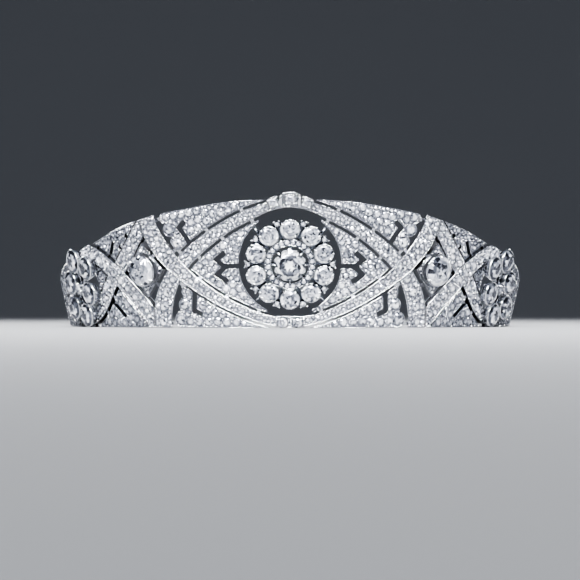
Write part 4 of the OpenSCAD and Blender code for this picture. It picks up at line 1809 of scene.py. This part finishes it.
@dataclass
class Flower:
    """The rosette of one side: six stones in bezels round a small one.

    Shading is as in Cluster. Wide, pair and row place the six stones; heart is the small one.
    """

    tools: Tools
    gems: Brilliants
    side: str
    angle: float = 56.1
    up: float = 12.9 * MM
    shading: tuple[float, float, float] = (1.0 * MM, 1.4 * MM, 2.4 * MM)
    base: float = 1.0 * MM
    stone: float = 3.4 * MM
    girdle: float = 2.0 * MM
    spin: float = 0.3
    wire: float = 0.24 * MM
    wire_gap: float = 0.16 * MM
    wire_height: float = 1.92 * MM
    row: float = 7.6 * MM
    pair: float = 3.87 * MM
    wide: float = 5.7 * MM
    turn: float = math.radians(18)
    heart: float = 1.5 * MM
    heart_seat: float = 1.45 * MM
    heart_girdle: float = 2.55 * MM
    claw_turn: float = 0.5
    claw: float = 1.2 * MM
    claw_drop: float = 0.8 * MM

    def places(self) -> tuple[tuple[float, float], ...]:
        """Where the six stones are, about the flower's centre."""
        return ((self.wide, 0.0), (self.pair, self.row), (-self.pair, self.row),
                (-self.wide, 0.0), (-self.pair, -self.row), (self.pair, -self.row))

    def build(self) -> None:
        """Set the stones and trim their bezels."""
        sign = SIDES[self.side]
        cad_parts[f"flower_setting_{self.side}"].data.materials[0] = SettingMetal(
            f"flower_metal_{self.side}", sign * self.angle, *self.shading).make()
        base = WALL.seat(sign * WALL.along(self.angle), self.up, self.base)
        metal, small = Bench(), Bench()
        for i, (x, y) in enumerate(self.places()):
            seat = base @ turned(sign * self.turn) @ move(sign * x, y)
            self.gems.cut(f"flower_stone_{self.side}_{i + 1}", seat @ move(z=self.girdle), self.stone,
                          self.spin * i, Play.DEEP)
            metal.hoop(self.stone + self.wire_gap, self.wire, seat @ move(z=self.wire_height), 40)
        centre = base @ move(z=self.heart_girdle)
        small.stamp(self.tools.full, centre @ sized(self.heart), Fire(random.Random(5)).large())
        small.piece(f"flower_heart_{self.side}", [self.tools.glitter], "stone")
        self.gems.claws(metal, centre, self.heart_seat,
                        [sign * (self.claw_turn + k * math.tau / 3) for k in range(3)],
                        self.claw, self.claw_drop)
        metal.piece(f"flower_bezels_{self.side}", [self.tools.bright], "pave_metal", smooth=True)


@dataclass
class Arm:
    """The plain arm of one side, and the wire loop inside the band before it, on a drop of solder."""

    tools: Tools
    side: str
    loop_angle: float = 45.0
    loop_up: float = 1.9 * MM
    loop_out: float = -2.2 * MM
    loop_radius: float = 1.15 * MM
    wire: float = 0.27 * MM
    solder: float = 0.55 * MM
    solder_out: float = 1.0 * MM

    def build(self) -> None:
        """Polish the arm and solder the loop inside the band."""
        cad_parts[f"arm_{self.side}"].data.materials[0] = self.tools.polished
        bench = Bench()
        seat = WALL.seat(SIDES[self.side] * WALL.along(self.loop_angle), self.loop_up, self.loop_out)
        bench.hoop(self.loop_radius, self.wire, seat @ turned(math.pi / 2, "Y"), 24, 8)
        bench.ball(self.solder, seat @ move(z=self.solder_out) @ stretched(z=0.5), 2)
        bench.piece(f"ribbon_loop_{self.side}", [self.tools.bright], "plain_metal", smooth=True)


# The studio


@dataclass(frozen=True)
class Lamp:
    """A square soft box: where it hangs, its side, its power, the spread of its beam and where it points."""

    name: str
    place: Place
    size: float
    power: float
    spread: float = 180.0
    target: Place = (0.0, -0.03, 0.02)


@dataclass
class Studio:
    """Floor, backdrop, lights and camera.

    Field_pixels is the camera's focal length and rise its shift, both in pixels of a picture frame_pixels
    wide. Room is the floor's radius, wall the backdrop's height and sweep the curve between them.
    """

    lamps: tuple[Lamp, ...] = (
        Lamp("key", (-0.50, -1.00, 0.75), 0.26, 0.7, 30.0),
        Lamp("fill", (0.60, -0.90, 0.62), 0.20, 0.3, 30.0),
        Lamp("front", (0.06, -1.00, 0.80), 0.40, 1.6, 30.0),
        Lamp("floor_light", (0.0, -0.55, 1.00), 0.40, 0.9, 75.0, (0.0, -0.50, 0.0)),
        Lamp("rim_left", (-0.60, 0.75, 0.60), 0.25, 0.3, 36.0),
        Lamp("rim_right", (0.50, 0.85, 0.60), 0.25, 0.3, 36.0),
        Lamp("back_wash", (0.0, 0.60, 1.60), 0.80, 4.5, 180.0, (0.0, 2.2, 0.5)),
        Lamp("front_wash", (0.0, -0.60, 1.60), 0.80, 24.0, 180.0, (0.0, -2.2, 0.5)),
    )
    camera_distance: float = 580 * MM
    camera_height: float = 5 * MM
    rise: float = 21.0
    field_pixels: float = 1742.0
    frame_pixels: float = 580.0
    room: float = 2.6
    wall: float = 1.7
    sweep: float = 1.5
    sensor: float = 36.0
    nearest: float = 5 * MM
    sky: Colour = (0.52, 0.57, 0.68)
    sky_power: float = 0.40
    look: str = "AgX - High Contrast"

    def build(self) -> None:
        """Set up the studio."""
        bpy.context.scene.view_settings.look = self.look
        self.lay_paper()
        self.hang_lights()
        self.set_camera()

    def lay_paper(self) -> None:
        """Lay a round floor that curves up into a wall all round."""
        bm = bmesh.new()
        profile = ((0, 0, 0), (self.room, 0, 0), (self.room, 0, self.wall))
        corners = [bm.verts.new(place) for place in profile]
        for a, b in zip(corners, corners[1:]):
            bm.edges.new((a, b))
        bmesh.ops.bevel(bm, geom=[corners[1]], offset=self.sweep, affect="VERTICES", segments=20,
                        profile=0.5, material=-1)
        bmesh.ops.spin(bm, geom=bm.verts[:] + bm.edges[:], cent=(0, 0, 0), axis=(0, 0, 1), dvec=(0, 0, 0),
                       angle=math.tau, steps=72, use_merge=True, use_duplicate=False)
        bmesh.ops.remove_doubles(bm, verts=bm.verts[:], dist=1e-5)
        bmesh.ops.recalc_face_normals(bm, faces=bm.faces[:])
        lowest = min(bm.faces, key=lambda f: f.calc_center_median().z)
        if lowest.normal.z < 0:
            bmesh.ops.reverse_faces(bm, faces=bm.faces[:])
        for face in bm.faces:
            face.smooth = True
        mesh = bpy.data.meshes.new("paper")
        bm.to_mesh(mesh)
        bm.free()
        mesh.materials.append(Paper("paper").make())
        paper = linked("paper", mesh)

    def hang_lights(self) -> None:
        """Hang the soft boxes and set the surrounding light."""
        world = bpy.data.worlds.new("room")
        world.use_nodes = True
        background = world.node_tree.nodes["Background"]
        background.inputs["Color"].default_value = (*self.sky, 1.0)
        background.inputs["Strength"].default_value = self.sky_power
        bpy.context.scene.world = world
        for lamp in self.lamps:
            light = bpy.data.lights.new(lamp.name, "AREA")
            light.shape = "SQUARE"
            light.size = lamp.size
            light.energy = lamp.power
            light.spread = math.radians(lamp.spread)
            thing = linked(lamp.name, light)
            thing.location = lamp.place
            aim = Vector(lamp.target) - Vector(lamp.place)
            thing.rotation_euler = aim.to_track_quat("-Z", "Y").to_euler()

    def set_camera(self) -> None:
        """Stand the camera in front, level with the band and just above the floor."""
        lens = bpy.data.cameras.new("camera")
        lens.sensor_width = self.sensor
        lens.lens = self.field_pixels / self.frame_pixels * lens.sensor_width
        lens.shift_y = self.rise / self.frame_pixels
        lens.clip_start = self.nearest
        camera = linked("camera", lens)
        camera.location = (0, -self.camera_distance, self.camera_height)
        camera.rotation_euler = (math.pi / 2, 0, 0)
        bpy.context.scene.camera = camera


def main() -> None:
    """Build the tiara's pieces in order, then the studio."""
    logging.basicConfig(level=logging.INFO, format="%(message)s")
    tools = Tools.gather()
    gems = Brilliants(tools, Fire(random.Random(2), 0.10))
    Pave(tools).build()
    Cluster(tools, gems).build()
    Crest(tools, gems).build()
    FootPair(tools).build()
    for side in SIDES:
        Lozenge(tools, gems, side).build()
        Flower(tools, gems, side).build()
        Arm(tools, side).build()
    Studio().build()


if __name__ == "__main__":
    main()
